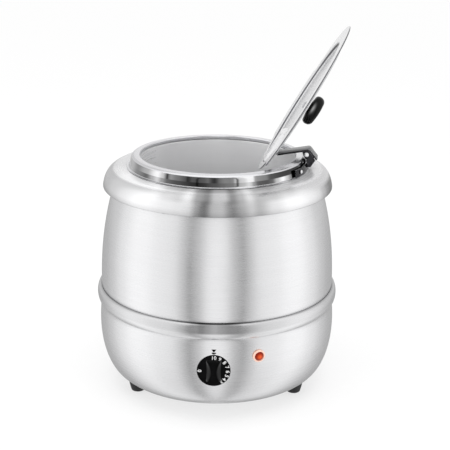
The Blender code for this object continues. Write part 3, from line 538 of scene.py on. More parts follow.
# A finish for each material slot, and more for the pieces in view
finishes = {
    "satin_steel": steel("satin_steel_brushed", **satin),
    # Painted reflections round the bead's front, and painted shade along its top edge at the seam
    "bowl_steel": steel(
        "bowl_steel_brushed", **satin, painted_reflections=BEAD_PAINTED_REFLECTIONS, above=BEAD_BAND, painted_shades=BEAD_PAINTED_SHADE
    ),
    # Painted shade under the collar's edge and along the seam above the bead
    "barrel_steel": steel("barrel_steel_brushed", **satin, painted_shades=BARREL_PAINTED_SHADE),
    # Painted reflections round the collar's front, and painted shade along its lower edge
    "collar_steel": steel(
        "collar_steel_brushed", (0.9, 0.9, 0.91), 0.24, 0.16, 0.05, anisotropy=0.55,
        metal=(*COLLAR_FLAT, 1.0, 0.3), painted_reflections=COLLAR_LOWER_PAINTED_REFLECTIONS, upper_painted_reflections=COLLAR_UPPER_PAINTED_REFLECTIONS, split=COLLAR_SPLIT,
        waved=True, painted_shades=COLLAR_PAINTED_SHADE,
    ),
    "polished_steel": steel("polished_steel_wiped", (0.83, 0.83, 0.84), 0.07, 0.05, 0.05),
    "lip_steel": steel("lip_steel_soft", (0.8, 0.8, 0.82), 0.2, 0.12, 0.06),
    # Painted reflections round the ring's skirt
    "skirt_steel": steel(
        "skirt_steel_mirror", (0.95, 0.95, 0.96), 0.06, 0.05, 0.05,
        painted_reflections=SKIRT_LOWER_PAINTED_REFLECTIONS, upper_painted_reflections=SKIRT_UPPER_PAINTED_REFLECTIONS, split=SKIRT_SPLIT,
    ),
    # Darker copies of steel for the hinge: a painted dark reflection on upward faces, painted shade on the sides
    # and undersides
    "hinge_steel": steel("hinge_steel_painted_dark", (0.11, 0.11, 0.115), 0.14, 0.1, 0.06),
    "hinge_steel_painted_shade": steel("hinge_steel_painted_shade", (0.035, 0.035, 0.038), 0.1, 0.08, 0.06),
    "lid_steel": steel("lid_steel_bright", (0.8, 0.8, 0.81), 0.2, 0.1, 0.07, metal=0.55),
    # Painted dark reflection lines on the lid's rim and step
    "lid_painted_dark_line": steel("lid_painted_dark_line", (0.16, 0.16, 0.17), 0.12, 0.1, 0.05),
    # Painted shade: the pot's steel darkens deeper down its wall
    "pot_steel": steel("pot_steel_satin", (0.94, 0.94, 0.945), 0.28, 0.05, 0.04, metal=0.6, painted_shades=POT_PAINTED_SHADE),
    "plated_steel": steel("plated_steel_dull", (0.6, 0.6, 0.62), 0.34, 0.1, 0.12, dirt=0.08),
    "black_plastic": moulded("black_plastic_gloss", (0.008, 0.008, 0.009), 0.17, 0.1, shine=0.35),
    "dial_plastic": moulded("dial_plastic_black", (0.0012, 0.0012, 0.0013), 0.26, 0.2, shine=0.05),
    # A lighter, shinier copy of the dial plastic: painted sheen on the grip's scoops
    "scoop_plastic": moulded("scoop_plastic_painted_sheen", (0.004, 0.004, 0.004), 0.34, 0.4, shine=0.18),
    "cord_plastic": moulded("cord_plastic_satin", (0.013, 0.013, 0.014), 0.42, 0.8, 1400.0),
    "grey_plastic": moulded("grey_plastic_matt", (0.33, 0.33, 0.34), 0.5, 1.0),
    "black_rubber": moulded("black_rubber_matt", (0.005, 0.005, 0.0055), 0.62, 1.6, 1200.0),
    "silicone": moulded("silicone_red", (0.58, 0.14, 0.09), 0.55, 0.8),
    "mineral_wool": wool_material(),
    "mica": moulded("mica_laminate", (0.42, 0.33, 0.22), 0.55, 1.4, 500.0),
    "amber_lens": lens_material(),
    "knob_plastic": knob_material(),
    "lamp_collar": bezel_material(),
    "copper": steel("copper_drawn", (0.8, 0.42, 0.26), 0.28, 0.15, 0.1, dirt=0.15),
    "white_ink": moulded("white_ink", (0.88, 0.88, 0.88), 0.45, 0.5),
    "black_ink": moulded("black_ink", (0.002, 0.002, 0.002), 0.6, 0.5, shine=0.05),
}
for hue, tint in (("brown", (0.18, 0.07, 0.03)), ("blue", (0.03, 0.09, 0.42)), ("green", (0.09, 0.33, 0.05))):
    finishes[hue + "_sleeve"] = moulded("sleeve_" + hue, tint, 0.45, 0.6)


# ---- building blocks


def link(ob):
    bpy.context.scene.collection.objects.link(ob)


def add_piece(name, bm, finish, body, replaced=(), place=None):
    """The piece made from a bmesh, in its place, with its finish, riding on a body."""
    bmesh.ops.recalc_face_normals(bm, faces=bm.faces)
    mesh = bpy.data.meshes.new(name)
    bm.to_mesh(mesh)
    bm.free()
    if place is not None:
        mesh.transform(place)
    mesh.shade_smooth()
    mesh.set_sharp_from_angle(angle=SHARP_ANGLE)
    piece = bpy.data.objects.new(name, mesh)
    link(piece)
    mesh.materials.append(finishes[finish])
    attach(piece, body)
    if replaced:
        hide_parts(*replaced)
    return piece


def repaint(piece, finish, chosen):
    """Gives the faces that a test picks another finish."""
    index = len(piece.data.materials)
    piece.data.materials.append(finishes[finish])
    for face in piece.data.polygons:
        if chosen(face):
            face.material_index = index


def turned(name, profile, finish, body, replaced=(), place=None, steps=PART_STEPS, slot=None):
    """A body of revolution about its Z axis from (radius, height) points; ends on the axis are poles."""
    bm = bmesh.new()
    angles = [2 * math.pi * i / steps for i in range(steps)]
    rings = []
    for radius, height in profile:
        if radius < ON_AXIS:
            rings.append([bm.verts.new((0, 0, height))])
        else:
            rings.append([bm.verts.new((radius * math.cos(a), radius * math.sin(a), height)) for a in angles])
    pairs = list(zip(rings, rings[1:]))
    if len(rings[0]) > 1:
        pairs.append((rings[-1], rings[0]))
    for ring, following in pairs:
        for i in range(steps):
            j = (i + 1) % steps
            near = [ring[i % len(ring)], ring[j % len(ring)]]
            far = [following[j % len(following)], following[i % len(following)]]
            face = list(dict.fromkeys(near + far))  # a corner on the axis once only
            if len(face) > 2:
                bm.faces.new(face)
    return add_piece(name, bm, finish, body, replaced, place)


def shell(name, loop, finish, body, node, slot="satin_steel"):
    """A large turned sheet round the kettle's axis, in the place of a node."""
    return turned(name, loop, finish, body, (node,), steps=SHELL_STEPS, slot=slot)


def loft(bm, rings):
    """Joins rings of as many vertices each into a closed body, and gives its two end faces."""
    for ring, following in zip(rings, rings[1:]):
        for i in range(len(ring)):
            j = (i + 1) % len(ring)
            bm.faces.new((ring[i], ring[j], following[j], following[i]))
    return [bm.faces.new(rings[0]), bm.faces.new(rings[-1])]


def arc(centre, radii, start, end, pieces):
    """Points of (radius, height) along an elliptic arc, angles in degrees from the radial direction."""
    angles = [math.radians(start + (end - start) * i / pieces) for i in range(pieces + 1)]
    return [(centre[0] + radii[0] * math.cos(a), centre[1] + radii[1] * math.sin(a)) for a in angles]


def bezier(controls, pieces):
    """Points along a cubic curve."""
    points = []
    for i in range(pieces + 1):
        t = i / pieces
        weights = ((1 - t) ** 3, 3 * t * (1 - t) ** 2, 3 * t * t * (1 - t), t**3)
        points.append(tuple(sum(w * p[k] for w, p in zip(weights, controls)) for k in (0, 1)))
    return points


def rounded(points, radius, pieces=4):
    """The path with each inner corner rounded by a curve that starts at most this far from it."""
    path = [tuple(points[0])]
    for before, corner, after in zip(points, points[1:], points[2:]):
        b, c, a = Vector(before), Vector(corner), Vector(after)
        start = c + (b - c).normalized() * min(radius, (b - c).length * 0.45)
        end = c + (a - c).normalized() * min(radius, (a - c).length * 0.45)
        for i in range(pieces + 1):
            t = i / pieces
            path.append(tuple(start.lerp(c, t).lerp(c.lerp(end, t), t)))
    return path + [tuple(points[-1])]


def sheet(path, wall, on_axis=False):
    """The loop round a sheet whose seen face is this path, with its back on the path's right.

    Cut edges are rounded. When the path ends on the axis, the loop starts and ends there.
    """
    points = [Vector(p) for p in path]
    normals = []
    for a, b in zip(points, points[1:]):
        along = (b - a).normalized()
        normals.append(Vector((along.y, -along.x)))
    inner = []
    for i, point in enumerate(points):
        first = normals[max(i - 1, 0)]
        second = normals[min(i, len(normals) - 1)]
        inner.append(point + (first + second) * wall / (1 + first.dot(second)))
    first_cap = edge_cap(inner[0], points[0], (points[0] - points[1]).normalized(), wall)
    last_cap = edge_cap(points[-1], inner[-1], (points[-1] - points[-2]).normalized(), wall)
    if on_axis:
        inner[-1].x = 0.0
    outside = [tuple(p) for p in points]
    inside = [tuple(p) for p in reversed(inner)] + first_cap
    return inside + outside if on_axis else outside + last_cap + inside


def edge_cap(start, end, outward, wall):
    """Points that round a sheet's edge off, inside the sheet's own length."""
    middle = (start + end) / 2
    half = (start - end) / 2
    cap = []
    for degrees in (45, 90, 135):
        a = math.radians(degrees)
        cap.append(tuple(middle + half * math.cos(a) + outward * (wall * 0.25 * math.sin(a))))
    return cap


def outward(angle, radius, z):
    """A place on the shell: local Z points away from the kettle, at this angle round from the front."""
    turn = Matrix.Rotation(angle, 4, "Z")
    return turn @ Matrix.Translation((0, -radius, z)) @ Matrix.Rotation(math.pi / 2, 4, "X")


def eased(name, node, body, width=EASING, finish="polished_steel"):
    """A machined or pressed piece with its edges eased: the frame's solid, welded, cleaned and bevelled."""
    bm = bmesh.new()
    bm.from_mesh(frame["nodes"][node].data)
    bmesh.ops.remove_doubles(bm, verts=bm.verts, dist=WELD_DISTANCE)
    bmesh.ops.dissolve_limit(bm, angle_limit=math.radians(1), verts=bm.verts, edges=bm.edges)
    bmesh.ops.recalc_face_normals(bm, faces=bm.faces)
    edges = [e for e in bm.edges if len(e.link_faces) == 2 and e.calc_face_angle() > SHARP_ANGLE]
    bmesh.ops.bevel(bm, geom=edges, offset=width, segments=2, profile=0.6, affect="EDGES", clamp_overlap=True)
    return add_piece(name, bm, finish, body, (node,))


def finish_kept_nodes():
    """The frame's own pieces take the finish of their material slot."""
    for row in frame["record"]["subparts"]:
        node = frame["nodes"][row["node"]]
        node.data.materials.clear()
        node.data.materials.append(finishes[row["material_slot"]])


# ---- jacket


def barrel_radius(z):
    rise = max(z - SEAM_Z, 0) / (barrel_high.z - SEAM_Z)
    return BARREL_R - BARREL_TAPER * rise**BARREL_TAPER_POWER


def bowl_path(pieces=40):
    """The bead at the top edge, then the bowl down to its flat bottom."""
    edge_r = BARREL_R + SEAM_STEP
    bead = arc((edge_r, SEAM_Z - BEAD_HALF_HEIGHT), (BEAD_RISE, BEAD_HALF_HEIGHT), 90, -80, pieces // 2)
    crease = (edge_r + SEAM_STEP, SEAM_Z - CREASE_DROP)
    opening_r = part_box("base_plate")[1].x - BOTTOM_LEDGE
    return bead + bezier((crease, *BELLY_CONTROLS), pieces) + [(opening_r, bowl_low.z)]


def bowl_radius(z):
    path = bowl_path()
    for (r0, z0), (r1, z1) in zip(path, path[1:]):
        if z1 <= z <= z0:
            return r0 + (r1 - r0) * (z0 - z) / (z0 - z1)
    raise ValueError("height outside the bowl")


def make_jacket():
    """The bowl, and the barrel that narrows upwards and stands in the bowl's edge on a short spigot."""
    shell("bowl_jacket", sheet(bowl_path(), SHELL_WALL), "bowl_steel", "housing", "base_bowl")
    height = barrel_high.z - SEAM_Z
    levels = [barrel_high.z - height * i / BARREL_LEVELS for i in range(BARREL_LEVELS + 1)]
    spigot_r = BARREL_R - SPIGOT_INSET
    path = [(barrel_radius(z), z) for z in levels]
    path += [(spigot_r, SEAM_Z - SPIGOT_STEP), (spigot_r, barrel_low.z)]
    shell("barrel_jacket", sheet(path, SHELL_WALL), "barrel_steel", "housing", "barrel_shell")


def make_collar():
    """An upturned neck round the opening, a flat top, a round shoulder and an edge turned in below."""
    top = ring_low.z - RING_GAP
    edge_z = collar_low.z
    side_r = collar_high.x
    neck = rounded([(NECK_R, collar_high.z), (NECK_R, top), (NECK_R + NECK_LEDGE, top)], NECK_BEND)
    over = ((COLLAR_FLAT_R, top), (side_r - 0.008, top))
    down = ((side_r - 0.002, edge_z + 0.016), (side_r, edge_z + 0.003))
    shoulder = bezier((*over, *down), 28)
    edge = [(side_r, edge_z + 0.0012), (side_r - 0.0008, edge_z + 0.0003), (side_r - 0.0018, edge_z)]
    edge.append((barrel_radius(edge_z) + COLLAR_CLEARANCE, edge_z))
    loop = sheet(neck + shoulder + edge, SHELL_WALL)
    shell("top_collar", loop, "collar_steel", "housing", "collar")


# ---- pot and ring


def make_pot():
    """A straight-sided pot with a flat rim and a rounded bottom corner."""
    low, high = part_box("insert_pot")
    rim_z = high.z - THIN_WALL
    wall_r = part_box("heating_well")[1].x - POT_INSET
    corner_z = low.z + POT_CORNER
    path = rounded([(high.x, rim_z), (wall_r, rim_z), (wall_r, corner_z)], POT_RIM_BEND)
    path += arc((wall_r - POT_CORNER, corner_z), (POT_CORNER, POT_CORNER), 0, -90, 14)[1:]
    path.append((0.0, low.z))
    shell("soup_pot", sheet(path, THIN_WALL, on_axis=True), "pot_steel", "pot", "insert_pot")


def ring_path():
    """The lid ring's seen face: up the inner edge, over the lip, down the skirt and out along its foot."""
    foot_z = ring_low.z + THIN_WALL
    lip_z = ring_high.z
    path = [(RING_BORE_R, lip_z - 0.0052), (RING_BORE_R, lip_z), (LIP_R, lip_z - 0.0008)]
    path += [(LIP_R + 0.0025, lip_z - 0.0036), (SKIRT_FOOT_R, foot_z), (ring_high.x, foot_z)]
    return rounded(path, RING_BEND, 6)


def make_lid_ring():
    """The ring, soft on its lip and mirror-bright on its skirt, which carries painted reflections round the axis.
    """
    loop = sheet(ring_path(), THIN_WALL)
    ring = shell("lid_ring_polished", loop, "lip_steel", "ring", "lid_ring", "polished_steel")

    def on_skirt(face):
        return face.center.xy.length > SKIRT_TOP_R and abs(face.normal.z) < SKIRT_STEEPNESS

    # The skirt's faces take the steel with painted reflections
    repaint(ring, "skirt_steel", on_skirt)


# ---- hinge


def make_hinge():
    """The ring's bracket and arm in darker steel for a painted dark reflection, with painted shade on their sides
    and undersides, pale along their edges, and the bright pieces.
    """
    arm = eased("hinge_arm_strip", "hinge_arm", "ring", ARM_EASING, "hinge_steel")
    bracket = eased("hinge_bracket_pressed", "hinge_bracket", "ring", finish="hinge_steel")
    for piece in (arm, bracket):
        # Painted shade: faces not turned upwards get the darkest steel
        repaint(piece, "hinge_steel_painted_shade", lambda face: face.normal.z < 0.5)
        repaint(piece, "lip_steel", lambda face: face.area <= FACET_AREA)
    eased("arm_pin_rivet", "arm_pin", "ring")
    for side in ("front", "rear"):
        eased(f"bracket_screw_{side}_head", f"bracket_screw_{side}", "ring")
    eased("hinge_leaf_plate", "hinge_leaf", "lid")
    eased("hinge_pin_headed", "hinge_pin", "lid", FINE_EASING)
    for i in (1, 2):
        eased(f"hinge_rivet_{i}_head", f"hinge_rivet_{i}", "lid")


# ---- lid


hinge_at = Vector(joints["lid_hinge"]["pos_m"])
RING_TURN = math.atan2(hinge_at.y, hinge_at.x)
HINGE = Vector((math.hypot(hinge_at.x, hinge_at.y), 0, hinge_at.z))  # with the ring turned back
LID_OPEN_ANGLE = math.radians(-joints["lid_hinge"]["range_deg"][0])
LID_SWING = Matrix.Translation(HINGE) @ Matrix.Rotation(LID_OPEN_ANGLE, 4, "Y") @ Matrix.Translation(-HINGE)
LID_PLACE = Matrix.Rotation(RING_TURN, 4, "Z") @ LID_SWING


def closed_box(node):
    """A lid piece's lowest and highest corners with the lid closed and the ring turned back."""
    back = LID_PLACE.inverted()
    points = [back @ v.co for v in frame["nodes"][node].data.vertices]
    low = Vector([min(p[k] for p in points) for k in range(3)])
    return low, Vector([max(p[k] for p in points) for k in range(3)])


lid_low = closed_box("lid_plate")[0]
LID_R = -lid_low.x


def smooth(t):
    t = min(max(t, 0.0), 1.0)
    return t * t * (3 - 2 * t)


def lid_edge_radius(angle):
    """The rim: round, with a ladle notch, and drawn in behind the hinge line."""
    radius = LID_R
    if math.cos(angle) > 0.1:
        radius = min(LID_R, max(TONGUE_R, (HINGE.x + 0.0004) / math.cos(angle)))
    reach = abs(angle - NOTCH_ANGLE) / NOTCH_HALF_ANGLE
    return radius - NOTCH_DEPTH * smooth((1.25 - reach) / 0.5)


def lid_height(x, y):
    """The lid's underside above its flange: a stepped dome with a flat pocket for the hinge."""
    r = math.hypot(x, y)
    crown = DOME_CROWN * max(0.0, 1 - (r / DOME_R) ** 2)
    dome = DOME_STEP * smooth((DOME_R + STEP_WIDTH - r) / STEP_WIDTH) + crown
    clear = max((POCKET_X - x) / POCKET_END_SLOPE, (abs(y) - POCKET_HALF_WIDTH) / POCKET_SIDE_SLOPE)
    return dome * smooth(clear)


def lid_face(bm, lift, hem):
    """One face of the lid at this height above the underside, from its centre to its rim."""
    dome = [0.002, *(DOME_R * i / DOME_RINGS for i in range(1, DOME_RINGS + 1))]
    step = [DOME_R + STEP_WIDTH * i / STEP_RINGS for i in range(1, STEP_RINGS + 1)]
    flange = [DOME_R + STEP_WIDTH + 0.0015]

    def vertex(r, angle, rise=0.0):
        x, y = r * math.cos(angle), r * math.sin(angle)
        return bm.verts.new((x, y, lid_low.z + lid_height(x, y) + lift + rise))

    angles = [math.remainder(2 * math.pi * (i + 0.5) / LID_STEPS, 2 * math.pi) for i in range(LID_STEPS)]
    centre = vertex(0, 0)
    rings = [[vertex(r, a) for a in angles] for r in dome + step + flange]
    for inset, rise in hem:
        rings.append([vertex(lid_edge_radius(a) - inset, a, rise) for a in angles])
    for i in range(LID_STEPS):
        j = (i + 1) % LID_STEPS
        bm.faces.new((centre, rings[0][i], rings[0][j]))
        for ring, following in zip(rings, rings[1:]):
            bm.faces.new((ring[i], following[i], following[j], ring[j]))
    return rings[-1]


def make_lid():
    """The lid's sheet with a hem rolled up along its rim; the rim and a line on the step carry painted dark
    reflection lines.
    """
    bm = bmesh.new()
    under = lid_face(bm, 0.0, HEM_UNDER)
    top = lid_face(bm, THIN_WALL, HEM_TOP)
    for i in range(LID_STEPS):
        j = (i + 1) % LID_STEPS
        bm.faces.new((under[i], under[j], top[j], top[i]))
    lid = add_piece("kettle_lid", bm, "lid_steel", "lid", ("lid_plate",), LID_PLACE)
    back = LID_PLACE.inverted()

    def on_painted_dark_line(face):
        x, y, _ = back @ face.center
        radius = math.hypot(x, y)
        on_rim = radius > lid_edge_radius(math.atan2(y, x)) - RIM_PAINTED_LINE
        return on_rim or STEP_PAINTED_LINE[0] < radius < STEP_PAINTED_LINE[1]

    # Painted dark reflection lines: faces at the rim and across the step get a dark steel
    repaint(lid, "lid_painted_dark_line", on_painted_dark_line)


def make_knob():
    """A cap on a short neck, bored from below for its screw."""
    low, high = closed_box("lid_knob")
    radius, height = (high.x - low.x) / 2, high.z - low.z
    crown = [(0.0, high.z), (radius * 0.45, high.z - 0.0001)]
    shoulder = ((radius * 0.78, high.z - 0.0011), (radius * 1.04, high.z - 0.0032))
    belly = ((radius * 1.06, low.z + height * 0.33), (radius * 0.84, low.z + height * 0.22))
    neck = [(KNOB_NECK_R + 0.002, low.z + 0.0031), (KNOB_NECK_R, low.z + 0.0018), (KNOB_NECK_R, low.z)]
    bore_z = low.z + KNOB_BORE_DEPTH
    bore = [(KNOB_BORE_R, low.z), (KNOB_BORE_R, bore_z), (0.0, bore_z)]
    profile = crown + bezier((*shoulder, *belly), 14) + neck + bore
    standing = ("lid", ("lid_knob",), LID_PLACE)
    turned("lid_knob_gloss", profile, "knob_plastic", *standing, steps=64, slot="black_plastic")
    eased("knob_washer_plain", "knob_washer", "lid", FINE_EASING)


# ---- controls


dial_low, dial_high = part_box("control_dial")
DIAL_CENTRE = Vector(joints["dial_turn"]["pos_m"])
DIAL_R = (dial_high.x - dial_low.x) / 2
DIAL_FACE = dial_high.y - dial_low.y - DIAL_GRIP
DIAL_PLACE = Matrix.Translation(DIAL_CENTRE) @ Matrix.Rotation(math.pi / 2, 4, "X")


def grip_section(along):
    """The grip bar's outline at one place of its length, -1 to 1: narrow in the middle, low at the ends."""
    middle = math.cos(math.pi / 2 * along)
    half = GRIP_END_HALF - GRIP_WAIST * middle
    flare = 0.0012 + 0.004 * middle
    base = DIAL_FACE - 0.0008
    end = smooth((1 - abs(along)) / 0.1)
    high = DIAL_FACE - 0.0006 + (DIAL_GRIP + 0.0006) * (0.35 + 0.65 * end)
    scoop = [(half + flare, base), (half + flare * 0.55, base + (high - base) * 0.3)]
    scoop += [(half + flare * 0.15, high - 0.0012), (half - 0.0002, high - 0.0004), (half - 0.0012, high)]
    return scoop + [(0.0, high - 0.0003)] + [(-x, z) for x, z in reversed(scoop)]


def make_dial():
    """A skirted disc with a waisted finger grip across its face."""
    dish_z = DIAL_FACE - 0.0002
    socket_z = DIAL_FACE - 0.001
    dish = [(0.0, dish_z), (DIAL_R * 0.55, dish_z)]
    rim = [(DIAL_R - 0.0022, DIAL_FACE), (DIAL_R, DIAL_FACE - 0.0006)]
    undercut = [(DIAL_R - 0.0006, DIAL_FACE - 0.0026), (DIAL_R - 0.0048, 0.0)]
    hub = [(DIAL_HUB_R, 0.0), (DIAL_HUB_R, DIAL_HUB_DEPTH), (DIAL_BORE_R, DIAL_HUB_DEPTH)]
    bore = [(DIAL_BORE_R, socket_z), (0.0, socket_z)]
    profile = dish + rounded(rim + undercut, 0.001) + hub + bore
    standing = ("dial", ("control_dial",), DIAL_PLACE)
    dial = turned("dial_cap", profile, "dial_plastic", *standing, steps=96, slot="black_plastic")
    bm = bmesh.new()
    sections = []
    for i in range(GRIP_SECTIONS + 1):
        along = 2 * i / GRIP_SECTIONS - 1
        sections.append([bm.verts.new((x, along * GRIP_HALF_LENGTH, z)) for x, z in grip_section(along)])
    loft(bm, sections)
    grip = add_piece("dial_grip", bm, "dial_plastic", "dial", (), DIAL_PLACE)
    # Painted sheen: the grip's side faces take a lighter, shinier plastic
    repaint(grip, "scoop_plastic", lambda face: abs(face.normal.x) > 0.3)
    for piece in (dial, grip):
        piece.visible_glossy = False


def lettering(bm, text, height, place):
    """Adds a word, as a thin raised print, to a bmesh."""
    curve = bpy.data.curves.new("lettering", "FONT")
    curve.body = text
    curve.size = height * FONT_SIZE
    curve.align_x = "CENTER"
    curve.align_y = "CENTER"
    curve.extrude = SURFACE_LIFT
    curve.offset = height * FONT_WEIGHT
    curve.resolution_u = 4
    helper = bpy.data.objects.new("lettering", curve)
    link(helper)
    bpy.context.view_layer.update()
    mesh = bpy.data.meshes.new_from_object(helper.evaluated_get(bpy.context.evaluated_depsgraph_get()))
    mesh.transform(place)
    bm.from_mesh(mesh)
    bpy.data.objects.remove(helper, do_unlink=True)
    bpy.data.curves.remove(curve)
    bpy.data.meshes.remove(mesh)


def make_numbers():
    """10 at the top, then down clockwise, and 0 at the left; each number's top points outwards."""
    bm = bmesh.new()
    marks = [(str(10 - i), i * NUMBER_STEP - i * i * NUMBER_CLOSING) for i in range(11 - LOWEST_NUMBER)]
    out = Matrix.Translation((0, NUMBER_R, DIAL_FACE + SURFACE_LIFT))
    for text, angle in marks + [("0", ZERO_ANGLE)]:
        lettering(bm, text, NUMBER_HEIGHT, DIAL_PLACE @ Matrix.Rotation(-angle, 4, "Z") @ out)
    add_piece("dial_numbers", bm, "white_ink", "dial").visible_glossy = False


def make_index_marks():
    """A pointer printed on the bowl above the dial, with a short arc under it."""
    top_z = dial_high.z - 0.0005
    base_z = top_z + POINTER_HEIGHT
    pointer = [(-POINTER_HALF_WIDTH, base_z), (POINTER_HALF_WIDTH, base_z), (0.0, top_z - 0.001)]
    centre = (0.0, top_z + 0.0002)
    bow = arc(centre, (BOW_R, BOW_R), -150, -30, 10)
    bow += arc(centre, (BOW_INNER_R, BOW_INNER_HEIGHT), -30, -150, 10)
    bm = bmesh.new()
    for outline in (pointer, bow):
        layers = []
        for lift in (-SURFACE_LIFT, SURFACE_LIFT):
            ring = []
            for x, z in outline:
                world_x = x + DIAL_CENTRE.x
                r = bowl_radius(z) + lift
                ring.append(bm.verts.new((world_x, -math.sqrt(r * r - world_x * world_x), z)))
            layers.append(ring)
        bmesh.ops.triangulate(bm, faces=loft(bm, layers))
    add_piece("index_marks", bm, "black_ink", "housing")


def make_lamp():
    """The lamp's domed lens in its collar, standing square on the bowl."""
    low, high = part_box("lamp_lens")
    centre = (low + high) / 2
    place = outward(math.atan2(centre.x, -centre.y), bowl_radius(centre.z), centre.z)
    dome = arc((0.0, LENS_BASE), (LENS_R, LENS_RISE), 90, 14, 12)
    profile = dome + [(LENS_R, LENS_BASE), (0.0, LENS_BASE)]
    lens = turned("lamp_lens_lit", profile, "amber_lens", "housing", ("lamp_lens",), place)
    share = lens.data.attributes.new(LENS_SHARE, "FLOAT", "POINT")
    back = place.inverted()
    for vertex in lens.data.vertices:
        share.data[vertex.index].value = (back @ vertex.co).xy.length / LENS_R
    bore = [(BEZEL_BORE_R, 0.0012), (BEZEL_BORE_R, BEZEL_HEIGHT)]
    side = [(BEZEL_R - 0.0011, BEZEL_HEIGHT), (BEZEL_R, 0.0018), (BEZEL_R, BEZEL_BASE)]
    bezel = rounded(bore + side + [(BEZEL_BORE_R, BEZEL_BASE)], 0.0006)
    turned("lamp_bezel_ring", bezel, "lamp_collar", "housing", ("lamp_bezel",), place, slot="polished_steel")


# ---- feet and cord


def make_feet():
    """Tapered rubber feet, hollow below for their screws."""
    for side in ("left", "right", "rear"):
        low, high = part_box(f"foot_{side}")
        radius = (high.x - low.x) / 2
        ledge = low.z + FOOT_RECESS
        outside = [(radius, high.z), (radius - 0.0003, low.z + 0.012), (radius - 0.0012, low.z + 0.008)]
        outside += [(FOOT_TREAD_R + 0.001, low.z + 0.0006), (FOOT_TREAD_R, low.z)]
        inside = [(FOOT_RECESS_R, low.z), (FOOT_RECESS_R, ledge), (FOOT_BORE_R, ledge), (FOOT_BORE_R, high.z)]
        place = Matrix.Translation(((low.x + high.x) / 2, (low.y + high.y) / 2, 0))
        profile = rounded(outside, 0.0016) + inside
        turned(f"rubber_foot_{side}", profile, "black_rubber", "housing", (f"foot_{side}",), place)


def smooth_path(points, lowest, pieces=10):
    """A Catmull-Rom curve through these points that never goes below a height."""
    knots = [Vector(p) for p in points]
    knots = [2 * knots[0] - knots[1], *knots, 2 * knots[-1] - knots[-2]]
    path = []
    for p0, p1, p2, p3 in zip(knots, knots[1:], knots[2:], knots[3:]):
        square = 2 * p0 - 5 * p1 + 4 * p2 - p3
        cube = 3 * p1 - p0 - 3 * p2 + p3
        for i in range(pieces):
            t = i / pieces
            point = 0.5 * (2 * p1 + (p2 - p0) * t + square * t**2 + cube * t**3)
            point.z = max(point.z, lowest)
            path.append(point)
    return path + [knots[-2]]


def make_cable(path, sides=20):
    """The round cord along a path."""
    bm = bmesh.new()
    side = Vector((1, 0, 0))
    rings = []
    for i, point in enumerate(path):
        along = (path[min(i + 1, len(path) - 1)] - path[max(i - 1, 0)]).normalized()
        side = (side - along * side.dot(along)).normalized()
        up = along.cross(side)
        angles = [2 * math.pi * k / sides for k in range(sides)]
        rings.append([bm.verts.new(point + CORD_R * (side * math.cos(a) + up * math.sin(a))) for a in angles])
    loft(bm, rings)
    add_piece("power_cord_round", bm, "cord_plastic", "housing", ("power_cord",))


def make_cord_relief(centre_z, wall, length):
    """The ribbed sleeve that holds the cord at the back of the bowl, clamped on both sides of its wall."""
    ribs = []
    for i in reversed(range(RELIEF_RIBS)):
        z = 0.0056 + i * (length - 0.0066) / RELIEF_RIBS
        crest, valley = 0.0085 - 0.0003 * i, 0.0071 - 0.0002 * i
        ribs += [(valley, z + 0.0013), (crest, z + 0.0011), (crest, z)]
    flange = [(RELIEF_FLANGE_R, 0.005), (RELIEF_FLANGE_R, 0.0008)]
    tail = [(RELIEF_TAIL_R, 0.0008), (RELIEF_TAIL_R, RELIEF_TAIL_END), (RELIEF_BORE_R, RELIEF_TAIL_END)]
    profile = [(RELIEF_BORE_R, length), (0.0062, length)] + ribs + flange + tail
    place = outward(math.pi, wall, centre_z)
    turned("cord_relief", profile, "cord_plastic", "housing", ("cord_grip",), place, slot="black_plastic")


def make_cord():
    """The strain relief, the cord coiled on the table behind the kettle, and its plug."""
    grip_low, grip_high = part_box("cord_grip")
    plug_low, plug_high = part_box("plug")
    centre_z = (grip_low.z + grip_high.z) / 2
    wall = bowl_radius(centre_z)
    make_cord_relief(centre_z, wall, grip_high.y - wall)
    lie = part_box("power_cord")[0].z + CORD_R
    points = [(0, wall - 0.03, centre_z), (0, wall + 0.012, centre_z), (0, wall + 0.036, centre_z - 0.004)]
    points.append((0, wall + 0.047, centre_z - 0.03))
    for i in range(2, int(COIL_TURNS * COIL_STEPS) + 1):
        angle = 2 * math.pi * i / COIL_STEPS - math.pi / 2
        r = COIL_R - COIL_CLOSING * i / COIL_STEPS
        points.append((r * math.cos(angle), wall + COIL_DISTANCE + r * math.sin(angle), lie))
    plug_axis = Vector((plug_high.x, (plug_low.y + plug_high.y) / 2, (plug_low.z + plug_high.z) / 2))
    points += [plug_axis + Vector((0.004, 0, -0.001)), plug_axis + Vector((-0.006, 0, 0))]
    make_cable(smooth_path(points, lie))
    make_plug(plug_axis, plug_high.x - plug_low.x)


def make_plug(axis, length):
    """A round-pin plug lying on the coil, its pins towards -X."""
    place = Matrix.Translation(axis) @ Matrix.Rotation(-math.pi / 2, 4, "Y")
    front = length - PIN_LENGTH
    face = [(0.0, front), (0.0172, front), (0.0185, front - 0.006), (0.0176, front * 0.64)]
    neck = [(0.0125, front * 0.4), (0.0082, front * 0.24), (0.007, 0.0), (0.0, 0.0)]
    profile = rounded(face + neck, 0.0022)
    turned("mains_plug", profile, "cord_plastic", "housing", ("plug",), place, steps=40, slot="black_plastic")
    tip = [(0.0, length), (0.0016, length - 0.0002), (PIN_R, length - 0.0014)]
    root = [(PIN_R, front - 0.001), (0.0, front - 0.001)]
    for i, side in enumerate((-PIN_SPREAD, PIN_SPREAD)):
        pin_place = place @ Matrix.Translation((0, side, 0))
        turned(f"plug_pin_{i + 1}", tip + root, "plated_steel", "housing", (), pin_place, steps=24)


# ---- studio


def studio_stops(*bands):
    """A band's stops for a ramp over half a turn."""
    return [(degrees / 180, brightness) for band in bands for degrees, brightness in band]


